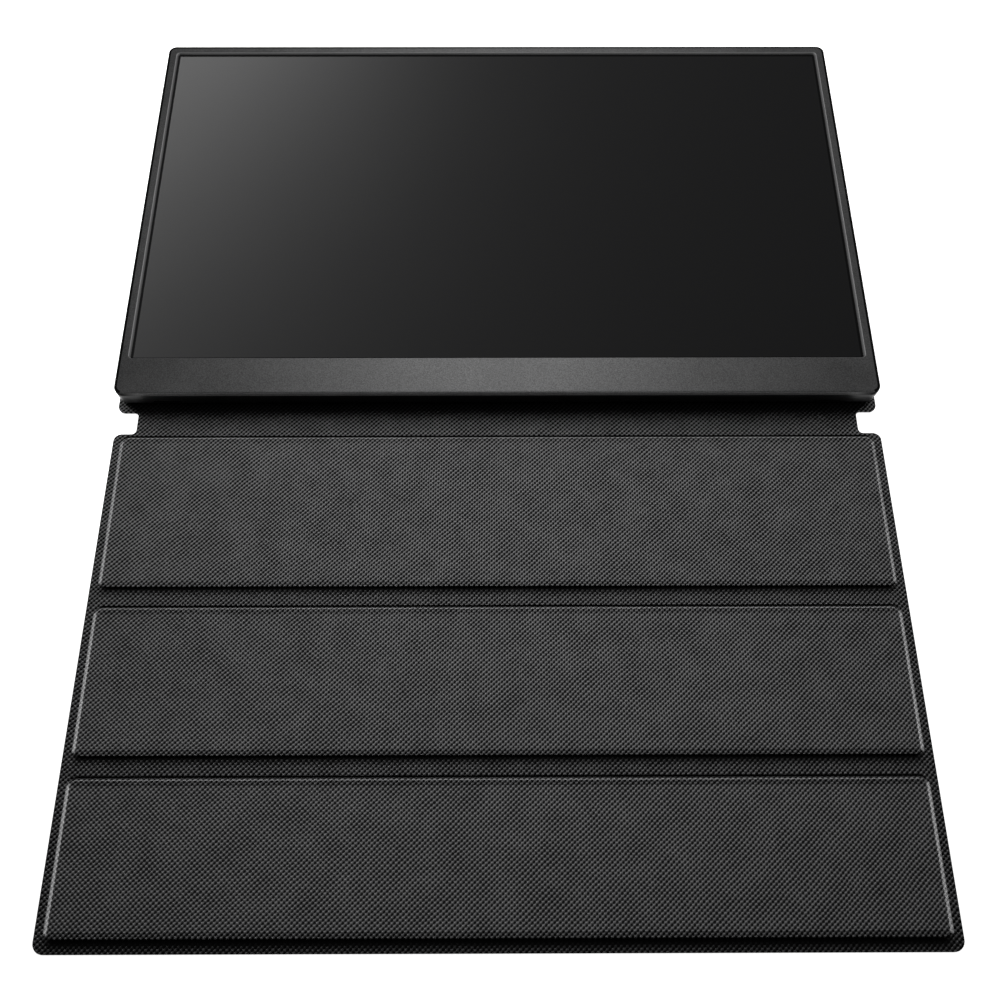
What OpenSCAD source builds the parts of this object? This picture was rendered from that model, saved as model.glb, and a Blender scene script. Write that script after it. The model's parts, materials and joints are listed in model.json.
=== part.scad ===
// Portable monitor lying face up on its opened folding cover.
// Millimetres. +X is to the right of a person who faces the screen, +Y runs from the
// flap towards the top of the screen and +Z is up. The origin is at the bottom centre
// of the whole part, so the cover lies on the plane z = 0.
// Lengths called u are measured along +Y from the monitor's bottom edge.

/* [Monitor] */
// Width of the frame beside the screen opening
side_bezel = 5.4; // [4.9:0.1:9]
// Width of the frame above the screen opening
top_bezel = 5.3; // [4.9:0.1:9]
// Height of the chin below the screen opening
chin_h = 19.1; // [18.6:0.1:24]
// Air between the sockets and the backlight tray, which sets the monitor's thickness
socket_headroom = 0.3; // [0.2:0.1:3]
// Radius of the monitor's corners, seen from the front
monitor_r = 4; // [3.5:0.5:8]
// Height of the front frame's side band
band_t = 2.5; // [2.3:0.1:3.2]
// Thickness of the front frame's face
face_t = 0.8; // [0.7:0.1:1.0]
// Thickness of the rear shell's walls
shell_wall = 1.4; // [1.2:0.1:1.6]
// Thickness of the rear shell's floor
shell_floor = 1.2; // [1.0:0.1:1.3]
// How far the rear shell narrows from its rim to its floor, on each side
shell_taper = 0.5; // [0.2:0.1:0.8]
// Size of the bevel round the rear shell's bottom edge
shell_bevel = 1.1; // [0.6:0.1:1.4]

/* [Screen] */
// Width of the picture area
screen_w = 344.2; // [300:0.2:400]
// Height of the picture area
screen_h = 193.6; // [175:0.2:230]
// Black border at each side of the picture area
border_x = 0.5; // [0.3:0.1:1]
// Black border above and below the picture area
border_y = 1.0; // [0.5:0.1:1.4]
// Width of the bevelled lip round three sides of the opening
lip_w = 0.9; // [0.5:0.1:1.2]
// How far the LCD cell reaches under the frame at the sides and the top
cell_overlap = 2; // [1.5:0.1:2.4]
// Height of the cell's ledge under the chin, where its flexes are bonded
cell_ledge = 6; // [5:0.1:6.5]
// Thickness of the LCD cell, both glasses together
cell_t = 1.0; // [0.8:0.1:1.2]
// Thickness of the foam gasket between frame and cell
gasket_t = 0.3; // [0.2:0.1:0.4]
// Thickness of the pack of optical films
films_t = 0.5; // [0.4:0.1:0.6]
// Thickness of the light guide
guide_t = 0.6; // [0.5:0.1:0.7]
// Thickness of the reflector sheet
reflector_t = 0.2; // [0.1:0.05:0.25]
// Thickness of the backlight tray's floor and rim
tray_t = 0.4; // [0.3:0.05:0.5]

/* [Boards and sockets] */
// Thickness of the main board and the button board
pcb_t = 1.0; // [0.8:0.1:1.0]
// Height of the bosses that carry the main board
boss_h = 0.7; // [0.6:0.1:0.8]
// Length of the main board along the monitor's side
main_board_len = 84; // [80:1:100]
// Width of the main board, inwards from the monitor's side
main_board_w = 78; // [70:1:100]
// Start of the main board above the monitor's bottom edge
main_board_u = 30; // [28:1:40]
// Pitch from one USB-C socket to the next
usb_pitch = 16; // [14:0.5:18]
// Outer width of a USB-C socket
usb_w = 8.94; // [8.9:0.01:9]
// Outer height of a USB-C socket
usb_h = 3.16; // [3.1:0.01:3.2]
// Width of the mini-HDMI socket
hdmi_w = 11.2; // [11:0.1:11.4]
// Height of the mini-HDMI socket
hdmi_h = 3.2; // [3.1:0.1:3.2]
// Radius of the audio jack's bore
jack_bore_r = 1.8; // [1.76:0.01:1.9]
// Length of the audio jack's bore
jack_bore_len = 14; // [13:0.5:15]
// Radius of the board screws
screw_r = 1.0; // [0.8:0.1:1.1]

/* [Buttons and speakers] */
// Length of the power button
power_len = 10; // [8:0.5:12]
// Length of the menu rocker
rocker_len = 22; // [18:0.5:24]
// Height of both keys
key_h = 2.6; // [2.2:0.1:2.8]
// Travel of the power button
power_travel = 0.4; // [0.2:0.1:0.5]
// Length of a speaker slot in the bottom wall
slot_len = 13.6; // [12:0.2:16]
// Height of a speaker slot
slot_h = 1.2; // [1.0:0.1:1.6]
// Distance from the middle of a speaker slot to the monitor's side
slot_inset = 23.5; // [22:0.5:30]
// Length of a speaker
speaker_len = 30; // [26:1:32]
// Depth of a speaker, from the bottom wall inwards
speaker_d = 15; // [12:1:18]

/* [Cover] */
// How far the cover reaches past the monitor's sides
cover_margin = 0.5; // [0:0.1:6]
// How far the back panel reaches past the monitor's top edge
back_margin = 2.6; // [1:0.1:6]
// Radius of the cover's outer corners
cover_r = 4.5; // [4:0.5:7]
// Thickness of the outer fabric, and of the lining
skin_t = 0.6; // [0.5:0.05:0.7]
// Thickness of the stiff boards
board_t = 1.2; // [1.0:0.1:1.4]
// Flat flange beside the boards
side_flange = 4.8; // [4:0.1:6]
// Flat flange beyond the boards at the two ends of the cover
end_flange = 5; // [4:0.1:7]
// Flange between the spine and board 1
spine_flange = 2.6; // [2.4:0.1:3]
// How far the back panel reaches out in front of the monitor
back_flange = 3.6; // [3:0.1:5]
// Depth of the notch at each end of the spine
notch_depth = 10; // [8:0.5:14]
// Radius of the notch's inner corners
notch_r = 2.2; // [1:0.1:3]
// Radius of the boards' raised corners
panel_r = 3; // [2:0.5:5]
// Length of panel 1
panel_1_len = 74.8; // [70:0.1:80]
// Length of panel 2
panel_2_len = 64.8; // [60:0.1:70]
// Width of the groove between panels 1 and 2
groove_1_w = 9.4; // [8:0.1:12]
// Width of the groove between panels 2 and 3
groove_2_w = 9.1; // [8:0.1:12]
// Length of the prop, from the spine's rear crease to the fold in the back panel
prop_len = 130; // [115:1:145]
// Width of the fold between the prop's board and the back board
back_fold_w = 6; // [5:0.1:9]
// Radius of a magnet
magnet_r = 5; // [4:0.5:6]

/* [Hidden] */
$fn = 48;

// Gap that fabric and soft parts keep, and the play between pieces that drop in
fit = 0.1;
// Play round moving keys and round the sockets in the wall
key_play = 0.2;
// Running clearance of the rocker's trunnions
pivot_play = 0.05;
// Air between the monitor and the lining that it lies on
rest_gap = 0.05;
// Air between the closed flap and the screen side
closing_gap = 0.4;
// Overlap that makes a cut go through its wall
cut = 1;

// The monitor is built up round its screen
opening_w = screen_w + 2 * border_x;
opening_h = screen_h + 2 * border_y;
opening_r = 1.2;
monitor_w = opening_w + 2 * side_bezel;
monitor_h = chin_h + opening_h + top_bezel;
cover_w = monitor_w + 2 * cover_margin;

// Heights of the cover's layers and the monitor's levels, from the table upwards
stack_t = 2 * skin_t + board_t;
z_back = stack_t + rest_gap;
z_floor = z_back + shell_floor;
z_pcb = z_floor + boss_h;
z_pcb_top = z_pcb + pcb_t;
z_tray = z_pcb_top + max(usb_h, hdmi_h) + socket_headroom;
z_reflector = z_tray + tray_t;
z_guide = z_reflector + reflector_t;
z_films = z_guide + guide_t;
z_cell = z_films + films_t;
z_cell_top = z_cell + cell_t;
z_front = z_cell_top + gasket_t + face_t;
z_split = z_front - band_t;
monitor_t = z_front - z_back;

// The spine stands up by this much when the cover closes round the monitor
spine_reach = monitor_t + 2 * stack_t - 2 * skin_t + rest_gap + closing_gap;
// Width of fabric that bends on either side of each crease
rear_crease_in = 0.9;
rear_crease_out = 0.7;
front_crease_out = 0.8;
fold_half = 1.5;

// Places along the cover, from the monitor's bottom edge
u_notch_rear = -back_flange;
u_rear_crease = u_notch_rear + rear_crease_in;
u_front_crease = u_rear_crease - spine_reach;
u_board_1 = u_front_crease - front_crease_out;
u_notch_front = u_board_1 + spine_flange;
u_groove_1 = u_board_1 - panel_1_len;
u_board_2 = u_groove_1 - groove_1_w;
u_groove_2 = u_board_2 - panel_2_len;
u_board_3 = u_groove_2 - groove_2_w;
u_fold_1 = (u_groove_1 + u_board_2) / 2;
u_fold_2 = (u_groove_2 + u_board_3) / 2;
u_back_end = monitor_h + back_margin;
// The closed flap ends where the back panel ends, which gives panel 3 its length
u_flap_end = u_rear_crease + u_front_crease - u_back_end;
u_board_3_end = u_flap_end + end_flange;
panel_3_len = u_board_3 - u_board_3_end;
u_back_fold = u_rear_crease + prop_len;
prop_setback = 2;
spine_w = cover_w - 2 * notch_depth;
panel_w = cover_w - 2 * side_flange;
// Shift that puts the origin under the middle of the whole part
y_shift = -(u_flap_end + u_back_end) / 2;

// What lies behind the opening
cell_w = opening_w + 2 * cell_overlap;
cell_u = chin_h - cell_ledge;
cell_h = opening_h + cell_ledge + cell_overlap;
tft_ledge = 3;
film_margin = 1.5;
films_w = screen_w + 2 * film_margin;
films_h = screen_h + 2 * film_margin;
films_u = chin_h + border_y - film_margin;
led_space = 3.4;
led_bar_d = 3;
led_count = 40;
led_size = [3, 0.9, 0.4];
skirt_t = 0.6;
skirt_h = 1.5;
skirt_play = 0.15;
skirt_in = shell_wall + skirt_play + skirt_t;
tray_r = 2;

// The driver board lies on the tray's shelf, flush with the cell's ledge
driver_t = 0.6;
driver_inset = 11.6;
driver_w = cell_w - 2 * driver_inset;
driver_d = 8;
driver_gap = 0.5;
shelf_d = driver_d + 2 * driver_gap;
z_driver_top = z_cell + cell_t / 2;
z_driver = z_driver_top - driver_t;
driver_u = cell_u - fit - tray_t - driver_gap - driver_d;
cable_w = 18;
cable_t = 0.3;
cable_riser_u = driver_u + driver_d / 2;
flex_count = 6;
flex_w = 26;
flex_t = 0.15;
chip_t = 0.45;

// Sockets on the left wall, in their order from the bottom edge
socket_recess = 0.5;
socket_edge = 12;
usb_u = main_board_u + socket_edge;
usb_d = 7.9;
usb_wall = 0.3;
socket_pitch = 19;
hdmi_u = usb_u + usb_pitch + socket_pitch;
hdmi_d = 7.5;
jack_u = hdmi_u + socket_pitch;
jack_body_w = 6.2;
jack_body_h = 4.8;
jack_collar_r = 2.3;
jack_collar_len = 1.6;
jack_body_len = jack_bore_len + 1 - jack_collar_len;
z_usb = z_pcb_top + usb_h / 2;
z_hdmi = z_pcb_top + hdmi_h / 2;
z_jack = z_floor + fit + jack_body_h / 2;
x_left = -monitor_w / 2;
x_right = monitor_w / 2;
x_board = x_left + shell_wall + 0.6;

// Screws and their bosses
boss_r = 2.4;
screw_head_r = 1.9;
screw_head_h = 1.1;
screw_play = 0.02;
screw_hole_play = 0.2;
board_screw_inset = 4;

// Keys on the right wall
z_key = (z_floor + z_tray) / 2;
power_u = 52;
key_pitch = 28;
rocker_u = power_u + key_pitch;
key_out = 0.4;
key_wall_gap = 0.25;
key_lip = 0.8;
key_lip_t = 0.7;
rocker_tilt = 2.5;
pivot_r = 0.8;
pivot_len = 0.9;
button_board_t = pcb_t;
button_board_len = 52;
bracket_t = 1.2;
bracket_headroom = 0.6;
tact_t = 0.8;
tact_w = 3.2;
stem_w = 2;

// Speakers behind the bottom wall
x_speaker = x_right - slot_inset;
speaker_h = 4.2;
mesh_t = 0.3;
z_slot = z_floor + slot_h / 2;
lead_w = 1.6;
lead_h = 0.8;

// Magnets and the plates that they hold
plate_t = 0.5;
plate_w = 40;
plate_d = 16;
magnet_pitch = 80;
magnet_columns = 4;
magnet_inset = 24;
magnet_xs = [for (i = [0 : magnet_columns - 1]) (i - (magnet_columns - 1) / 2) * magnet_pitch];
latch_w = 18;
latch_d = 4;
latch_margin = 1.2;
latch_pitch = 200;
latch_xs = [-latch_pitch / 2, latch_pitch / 2];
latch_u = u_board_3_end + skin_t + latch_margin;
// Where panel 3's magnets lie over the monitor once the cover is closed
latch_closed_u = u_rear_crease + u_front_crease - latch_u - latch_d;

// ---------- shared shapes ----------

// Rectangle with round corners, from its lower left corner
module round_rect(w, h, r) {
    union() {
        translate([r, 0]) square([w - 2 * r, h]);
        translate([0, r]) square([w, h - 2 * r]);
        for (x = [r, w - r], y = [r, h - r]) translate([x, y]) circle(r);
    }
}

// Slot with round ends, centred
module stadium(w, h) {
    union() {
        square([w - h, h], center = true);
        for (s = [-1, 1]) translate([s * (w - h) / 2, 0]) circle(d = h);
    }
}

// Places children at a length u along the cover
module at_u(u) {
    translate([0, u + y_shift, 0]) children();
}

// A centred plate of one thickness, from u and z upwards
module plate(w, h, t, u, z, r = 0) {
    at_u(u) translate([-w / 2, 0, z]) linear_extrude(t)
        if (r > 0) round_rect(w, h, r); else square([w, h]);
}

// Places children on the left wall, looking along +X, with x across and y up
module on_left_wall(u, z) {
    at_u(u) translate([x_left, 0, z]) rotate([90, 0, 90]) children();
}

// ---------- cover ----------

// The fillet of a notch's inner corner; sx and sy point into the notch
module notch_fillet(u, sx, sy) {
    translate([sx * spine_w / 2, u + y_shift]) difference() {
        translate([sx > 0 ? 0 : -notch_r, sy > 0 ? 0 : -notch_r]) square(notch_r);
        translate([sx * notch_r, sy * notch_r]) circle(notch_r);
    }
}

// Outline of the whole opened cover
module cover_outline() {
    back_h = u_back_end - u_notch_rear;
    flap_h = u_notch_front - u_flap_end;
    translate([-cover_w / 2, u_notch_rear + y_shift]) round_rect(cover_w, back_h, cover_r);
    translate([-cover_w / 2, u_flap_end + y_shift]) round_rect(cover_w, flap_h, cover_r);
    translate([-spine_w / 2, u_notch_front + y_shift - cut])
        square([spine_w, u_notch_rear - u_notch_front + 2 * cut]);
    for (s = [-1, 1]) {
        notch_fillet(u_notch_rear, s, -1);
        notch_fillet(u_notch_front, s, 1);
    }
}

// One layer of the cover between two places
module cover_layer(u_from, u_to, z, t) {
    translate([0, 0, z]) linear_extrude(t) intersection() {
        cover_outline();
        translate([-cover_w, u_from + y_shift]) square([2 * cover_w, u_to - u_from]);
    }
}

// Lining with a pocket that is raised over its board
module lining(u_from, u_to, u_pocket, pocket_len) {
    difference() {
        union() {
            cover_layer(u_from, u_to, skin_t, skin_t);
            plate(panel_w, pocket_len, stack_t - skin_t, u_pocket, skin_t, panel_r);
        }
        translate([0, 0, -cut]) plate(
            panel_w - 2 * skin_t, pocket_len - 2 * skin_t, board_t + cut,
            u_pocket + skin_t, skin_t, panel_r - skin_t
        );
    }
}

// Stiff board that lies in a lining's pocket
module board(u_pocket, pocket_len) {
    inset = skin_t + fit;
    plate(
        panel_w - 2 * inset, pocket_len - 2 * inset, board_t,
        u_pocket + inset, skin_t, panel_r - inset
    );
}

back_board_u = u_back_fold + back_fold_w / 2;
back_board_len = u_back_end - end_flange - back_board_u;
magnet_us = [back_board_u + magnet_inset, back_board_u + back_board_len - magnet_inset];
prop_board_u = prop_setback;
prop_board_len = u_back_fold - back_fold_w / 2 - prop_board_u;

module outer_fabric_back() {
    color("#1c1c1e") cover_layer(u_back_fold + fold_half, u_back_end, 0, skin_t);
}

module lining_back() {
    color("#232325") lining(u_back_fold + fold_half, u_back_end, back_board_u, back_board_len);
}

// Round magnets through the back board, one for each hole
module back_magnet_set(r, z, t) {
    for (x = magnet_xs, u = magnet_us) at_u(u) translate([x, 0, z]) cylinder(h = t, r = r);
}

module back_board() {
    color("#6b6256") difference() {
        board(back_board_u, back_board_len);
        back_magnet_set(magnet_r + fit, skin_t - cut, board_t + 2 * cut);
    }
}

module back_magnets() {
    color("#b8babd") back_magnet_set(magnet_r, skin_t, board_t);
}

module back_fold() {
    color("#1c1c1e") cover_layer(u_back_fold - fold_half, u_back_fold + fold_half, 0, 2 * skin_t);
}

module outer_fabric_prop() {
    color("#1c1c1e")
        cover_layer(u_rear_crease + rear_crease_out, u_back_fold - fold_half, 0, skin_t);
}

module lining_prop() {
    color("#232325") lining(
        u_rear_crease + rear_crease_out, u_back_fold - fold_half, prop_board_u, prop_board_len
    );
}

module prop_board() {
    color("#6b6256") board(prop_board_u, prop_board_len);
}

module rear_crease() {
    color("#1c1c1e") cover_layer(u_notch_rear, u_rear_crease + rear_crease_out, 0, 2 * skin_t);
}

module outer_fabric_spine() {
    color("#1c1c1e") cover_layer(u_notch_front, u_notch_rear, 0, skin_t);
}

module lining_spine() {
    color("#232325") cover_layer(u_notch_front, u_notch_rear, skin_t, skin_t);
}

module front_crease() {
    color("#1c1c1e") cover_layer(u_board_1, u_notch_front, 0, 2 * skin_t);
}

module outer_fabric_panel_1() {
    color("#1c1c1e") cover_layer(u_fold_1 + fold_half, u_board_1, 0, skin_t);
}

module lining_panel_1() {
    color("#232325") lining(u_fold_1 + fold_half, u_board_1, u_groove_1, panel_1_len);
}

module board_panel_1() {
    color("#6b6256") board(u_groove_1, panel_1_len);
}

module groove_fold_1() {
    color("#1c1c1e") cover_layer(u_fold_1 - fold_half, u_fold_1 + fold_half, 0, 2 * skin_t);
}

module outer_fabric_panel_2() {
    color("#1c1c1e") cover_layer(u_fold_2 + fold_half, u_fold_1 - fold_half, 0, skin_t);
}

module lining_panel_2() {
    color("#232325")
        lining(u_fold_2 + fold_half, u_fold_1 - fold_half, u_groove_2, panel_2_len);
}

module board_panel_2() {
    color("#6b6256") board(u_groove_2, panel_2_len);
}

module groove_fold_2() {
    color("#1c1c1e") cover_layer(u_fold_2 - fold_half, u_fold_2 + fold_half, 0, 2 * skin_t);
}

module outer_fabric_panel_3() {
    color("#1c1c1e") cover_layer(u_flap_end, u_fold_2 - fold_half, 0, skin_t);
}

module lining_panel_3() {
    color("#232325") lining(u_flap_end, u_fold_2 - fold_half, u_board_3_end, panel_3_len);
}

// Bar magnets near panel 3's free edge, or the pockets that hold them
module latch_set(grow, z, t) {
    for (x = latch_xs) at_u(latch_u - grow)
        translate([x - latch_w / 2 - grow, 0, z])
            cube([latch_w + 2 * grow, latch_d + 2 * grow, t]);
}

module board_panel_3() {
    color("#6b6256") difference() {
        board(u_board_3_end, panel_3_len);
        latch_set(fit, skin_t - cut, board_t + 2 * cut);
    }
}

module panel_3_magnets() {
    color("#b8babd") latch_set(0, skin_t, board_t);
}

// ---------- monitor: front ----------

// Bevelled mouth of the opening: the lip slopes on the sides and the top, and the chin
// edge stays square
module lip_cut() {
    hull() {
        plate(opening_w, opening_h, 0.01, chin_h, z_front - face_t, opening_r);
        plate(opening_w + 2 * lip_w, opening_h + lip_w, cut, chin_h, z_front, opening_r);
    }
}

module front_frame() {
    inner = skirt_in - skirt_t;
    color("#46474a") difference() {
        union() {
            plate(monitor_w, monitor_h, band_t, 0, z_split, monitor_r);
            plate(
                monitor_w - 2 * inner, monitor_h - 2 * inner, skirt_h + cut,
                inner, z_split - skirt_h, monitor_r - inner
            );
        }
        plate(
            monitor_w - 2 * skirt_in, monitor_h - 2 * skirt_in, skirt_h + band_t - face_t + cut,
            skirt_in, z_split - skirt_h - cut, monitor_r - skirt_in
        );
        plate(opening_w, opening_h, face_t + 2 * cut, chin_h, z_front - face_t - cut, opening_r);
        lip_cut();
    }
}

module screen_gasket() {
    color("#0a0a0a") difference() {
        plate(cell_w, opening_h + 2 * cell_overlap, gasket_t, chin_h - cell_overlap, z_cell_top);
        plate(opening_w, opening_h, gasket_t + 2 * cut, chin_h, z_cell_top - cut, opening_r);
    }
}

module lcd_cell() {
    color("#2b2c2e") {
        plate(cell_w, cell_h, cell_t / 2, cell_u, z_cell);
        plate(cell_w, cell_h - tft_ledge, cell_t / 2, cell_u + tft_ledge, z_cell + cell_t / 2);
    }
}

module optical_films() {
    color("#e8e8e4") plate(films_w, films_h, films_t, films_u, z_films);
}

module light_guide() {
    color("#d9e4e6") plate(films_w, films_h, guide_t, films_u, z_guide);
}

module reflector_sheet() {
    color("#f4f4f4") plate(films_w, films_h, reflector_t, films_u, z_reflector);
}

// Strip of LEDs that shines into the light guide's bottom edge
module led_bar() {
    pitch = films_w / led_count;
    color("#e0d9a0") {
        plate(films_w, led_bar_d, reflector_t, films_u - fit - led_bar_d, z_reflector);
        at_u(films_u - fit - led_size[1]) for (i = [0 : led_count - 1])
            translate([(i + 0.5) * pitch - films_w / 2 - led_size[0] / 2, 0, z_guide]) cube(led_size);
    }
}

module backlight_tray() {
    rim = fit + tray_t;
    pocket_u = films_u - led_space;
    color("#b4b6b8") difference() {
        union() {
            plate(
                cell_w + 2 * rim, cell_h + 2 * rim, z_driver_top - z_tray,
                cell_u - rim, z_tray, tray_r
            );
            plate(driver_w + 4, shelf_d, tray_t, cell_u - rim - shelf_d, z_driver - tray_t);
        }
        plate(cell_w + 2 * fit, cell_h + 2 * fit, cell_t + cut, cell_u - fit, z_cell);
        plate(
            films_w + 2 * fit, films_h + led_space + fit, z_cell - z_reflector + cut,
            pocket_u, z_reflector
        );
        at_u(cable_riser_u - fit) translate([cable_x - cable_w / 2 - fit, 0, z_driver - tray_t - cut])
            cube([cable_w + 2 * fit, cable_t + 2 * fit, tray_t + 2 * cut]);
    }
}

module driver_board() {
    chip_w = 14;
    color("#1f4d34") plate(driver_w, driver_d, driver_t, driver_u, z_driver);
    color("#1b1b1d") for (i = [-2 : 2])
        at_u(driver_u + 1) translate([i * driver_w / flex_count - chip_w / 2, 0, z_driver_top])
            cube([chip_w, 3, chip_t]);
}

module cell_flexes() {
    pitch = driver_w / flex_count;
    from_u = driver_u + driver_d - 3;
    to_u = cell_u + tft_ledge - 0.5;
    color("#a5642a") at_u(from_u) for (i = [0 : flex_count - 1])
        translate([(i + 0.5) * pitch - driver_w / 2 - flex_w / 2, 0, z_driver_top])
            cube([flex_w, to_u - from_u, flex_t]);
}

// ---------- monitor: boards and sockets ----------

main_board_end = main_board_u + main_board_len;
board_screw_xs = [x_board + socket_edge + 4, x_board + main_board_w - board_screw_inset];
board_screw_us = [main_board_u + board_screw_inset, main_board_end - board_screw_inset];

module board_screw_holes(r, z, t) {
    for (x = board_screw_xs, u = board_screw_us)
        at_u(u) translate([x, 0, z]) cylinder(h = t, r = r);
}

cable_x = x_board + main_board_w - 24;
plug_h = 1.5;
chip_h = 1.0;
chip_size = 12;
chip_x = x_board + 50;
chip_u = main_board_u + 58;

module main_board() {
    color("#1d4a33") difference() {
        at_u(main_board_u) translate([x_board, 0, z_pcb]) cube([main_board_w, main_board_len, pcb_t]);
        board_screw_holes(screw_r + screw_hole_play, z_pcb - cut, pcb_t + 2 * cut);
        at_u(jack_u - jack_body_w / 2 - fit) translate([x_board - cut, 0, z_pcb - cut])
            cube([jack_collar_len + jack_body_len + cut, jack_body_w + 2 * fit, pcb_t + 2 * cut]);
    }
    color("#1b1b1d") {
        at_u(main_board_u + 2) translate([cable_x - cable_w / 2, 0, z_pcb_top])
            cube([cable_w + 2, 4, plug_h]);
        at_u(chip_u) translate([chip_x, 0, z_pcb_top]) cube([chip_size, chip_size, chip_h]);
    }
}

shield_x = x_board + 32;
shield_u = main_board_u + 20;
shield_w = 34;
shield_len = 28;
shield_h = 2;
shield_t = 0.2;

module board_shield() {
    color("#c3c5c7") at_u(shield_u) translate([shield_x, 0, z_pcb_top]) difference() {
        cube([shield_w, shield_len, shield_h]);
        translate([shield_t, shield_t, -cut])
            cube([shield_w - 2 * shield_t, shield_len - 2 * shield_t, shield_h - shield_t + cut]);
    }
}

module usb_c_sockets() {
    tongue = [6.7, 0.7];
    color("#b9bbbd") for (i = [0, 1]) on_left_wall(usb_u + i * usb_pitch, z_usb)
        translate([0, 0, socket_recess]) {
            difference() {
                linear_extrude(usb_d) stadium(usb_w, usb_h);
                translate([0, 0, -cut]) linear_extrude(usb_d - 1 + cut)
                    stadium(usb_w - 2 * usb_wall, usb_h - 2 * usb_wall);
            }
            translate([0, 0, 2 + (usb_d - 2) / 2])
                cube([tongue[0], tongue[1], usb_d - 2], center = true);
        }
}

// Outline of the mini-HDMI shell: a flat box whose lower corners are cut off
module hdmi_outline(w, h) {
    c = h * 0.36;
    polygon([
        [-w / 2, h / 2], [-w / 2, -h / 2 + c], [-w / 2 + c, -h / 2],
        [w / 2 - c, -h / 2], [w / 2, -h / 2 + c], [w / 2, h / 2]
    ]);
}

module mini_hdmi_socket() {
    wall = 0.35;
    color("#b9bbbd") on_left_wall(hdmi_u, z_hdmi) translate([0, 0, socket_recess]) {
        difference() {
            linear_extrude(hdmi_d) hdmi_outline(hdmi_w, hdmi_h);
            translate([0, 0, -cut]) linear_extrude(hdmi_d - 1 + cut)
                hdmi_outline(hdmi_w - 2 * wall, hdmi_h - 2 * wall);
        }
        translate([0, 0.2, 2 + (hdmi_d - 2) / 2]) cube([7.6, 0.6, hdmi_d - 2], center = true);
    }
}

module audio_jack() {
    color("#1a1a1c") on_left_wall(jack_u, z_jack) translate([0, 0, socket_recess]) difference() {
        union() {
            cylinder(h = jack_collar_len, r = jack_collar_r);
            translate([-jack_body_w / 2, -jack_body_h / 2, jack_collar_len])
                cube([jack_body_w, jack_body_h, jack_body_len]);
        }
        translate([0, 0, -cut]) cylinder(h = jack_bore_len + cut, r = jack_bore_r);
    }
}

module board_screws() {
    shank = boss_h + pcb_t + shell_floor / 2;
    color("#8f9193") {
        board_screw_holes(screw_r, z_pcb_top - shank, shank);
        board_screw_holes(screw_head_r, z_pcb_top, screw_head_h);
    }
}

// ---------- monitor: keys ----------

// Places children on the right wall with x along the wall and z outwards
module on_right_wall(u) {
    at_u(u) translate([x_right, 0, z_key]) rotate([90, 0, 90]) children();
}

key_stop = -shell_wall - key_wall_gap;

// A key: the cap that shows, and the lip that keeps it in the wall
module key_body(len) {
    translate([0, 0, key_stop - key_lip_t]) linear_extrude(key_out - key_stop + key_lip_t)
        stadium(len, key_h);
    translate([0, 0, key_stop - key_lip_t]) linear_extrude(key_lip_t)
        stadium(len + 2 * key_lip, key_h + 2 * key_lip);
}

rocker_lip_gap = 0.8;
z_pivot = key_stop - rocker_lip_gap - key_lip_t - pivot_r;
// Depth of the button board's face behind the right wall
board_face = z_pivot - 1.9;

module power_button() {
    stem_end = board_face + tact_t + power_travel + fit;
    color("#3a3b3d") on_right_wall(power_u) {
        key_body(power_len);
        translate([-stem_w / 2, -stem_w / 2, stem_end])
            cube([stem_w, stem_w, key_stop - key_lip_t - stem_end]);
    }
}

module menu_rocker() {
    color("#3a3b3d") on_right_wall(rocker_u) {
        translate([0, 0, z_pivot]) linear_extrude(key_out - z_pivot) stadium(rocker_len, key_h);
        translate([0, 0, key_stop - rocker_lip_gap - key_lip_t]) linear_extrude(key_lip_t)
            stadium(rocker_len + 2 * key_lip, key_h);
        rotate([90, 0, 0]) translate([0, z_pivot, 0])
            cylinder(h = key_h + 2 * pivot_len, r = pivot_r, center = true);
    }
}

module button_board() {
    color("#1d4a33") on_right_wall((power_u + rocker_u) / 2) {
        translate([-button_board_len / 2, -key_h / 2, board_face - button_board_t])
            cube([button_board_len, key_h, button_board_t]);
    }
    color("#c9cacc") for (u = [power_u, rocker_u - rocker_len / 3, rocker_u + rocker_len / 3])
        on_right_wall(u) translate([-tact_w / 2, -key_h / 2, board_face])
            cube([tact_w, key_h, tact_t]);
}

bracket_back = board_face - button_board_t - bracket_t;
cheek_w = 4;
cheek_t = 0.7;

// Bracket on the shell's floor: a rail behind the button board, and two cheeks that hold
// the rocker's trunnions
module button_bracket() {
    rail_h = z_tray - z_floor - bracket_headroom;
    cheek_y = key_h / 2 + key_play;
    color("#2a2b2d") {
        on_right_wall((power_u + rocker_u) / 2)
            translate([-button_board_len / 2, z_floor - z_key, bracket_back])
                cube([button_board_len, rail_h, bracket_t]);
        on_right_wall(rocker_u) difference() {
            for (y = [cheek_y, -cheek_y - cheek_t]) translate([-cheek_w / 2, y, bracket_back])
                cube([cheek_w, cheek_t, z_pivot + pivot_r + 0.5 - bracket_back]);
            rotate([90, 0, 0]) translate([0, z_pivot, 0])
                cylinder(h = 4 * key_h, r = pivot_r + pivot_play, center = true);
        }
    }
}

// ---------- monitor: cables and speakers ----------

// Flat cable from the main board's plug, forward under the tray and up to the driver board
module display_cable() {
    z = z_pcb_top + plug_h / 2;
    color("#8a8c8e") {
        at_u(cable_riser_u) translate([cable_x - cable_w / 2, 0, z])
            cube([cable_w, main_board_u + 2 - cable_riser_u, cable_t]);
        at_u(cable_riser_u) translate([cable_x - cable_w / 2, 0, z]) cube([cable_w, cable_t, z_driver - z]);
    }
}

button_cable_w = 4;
button_cable_u = (power_u + rocker_u) / 2;

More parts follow.
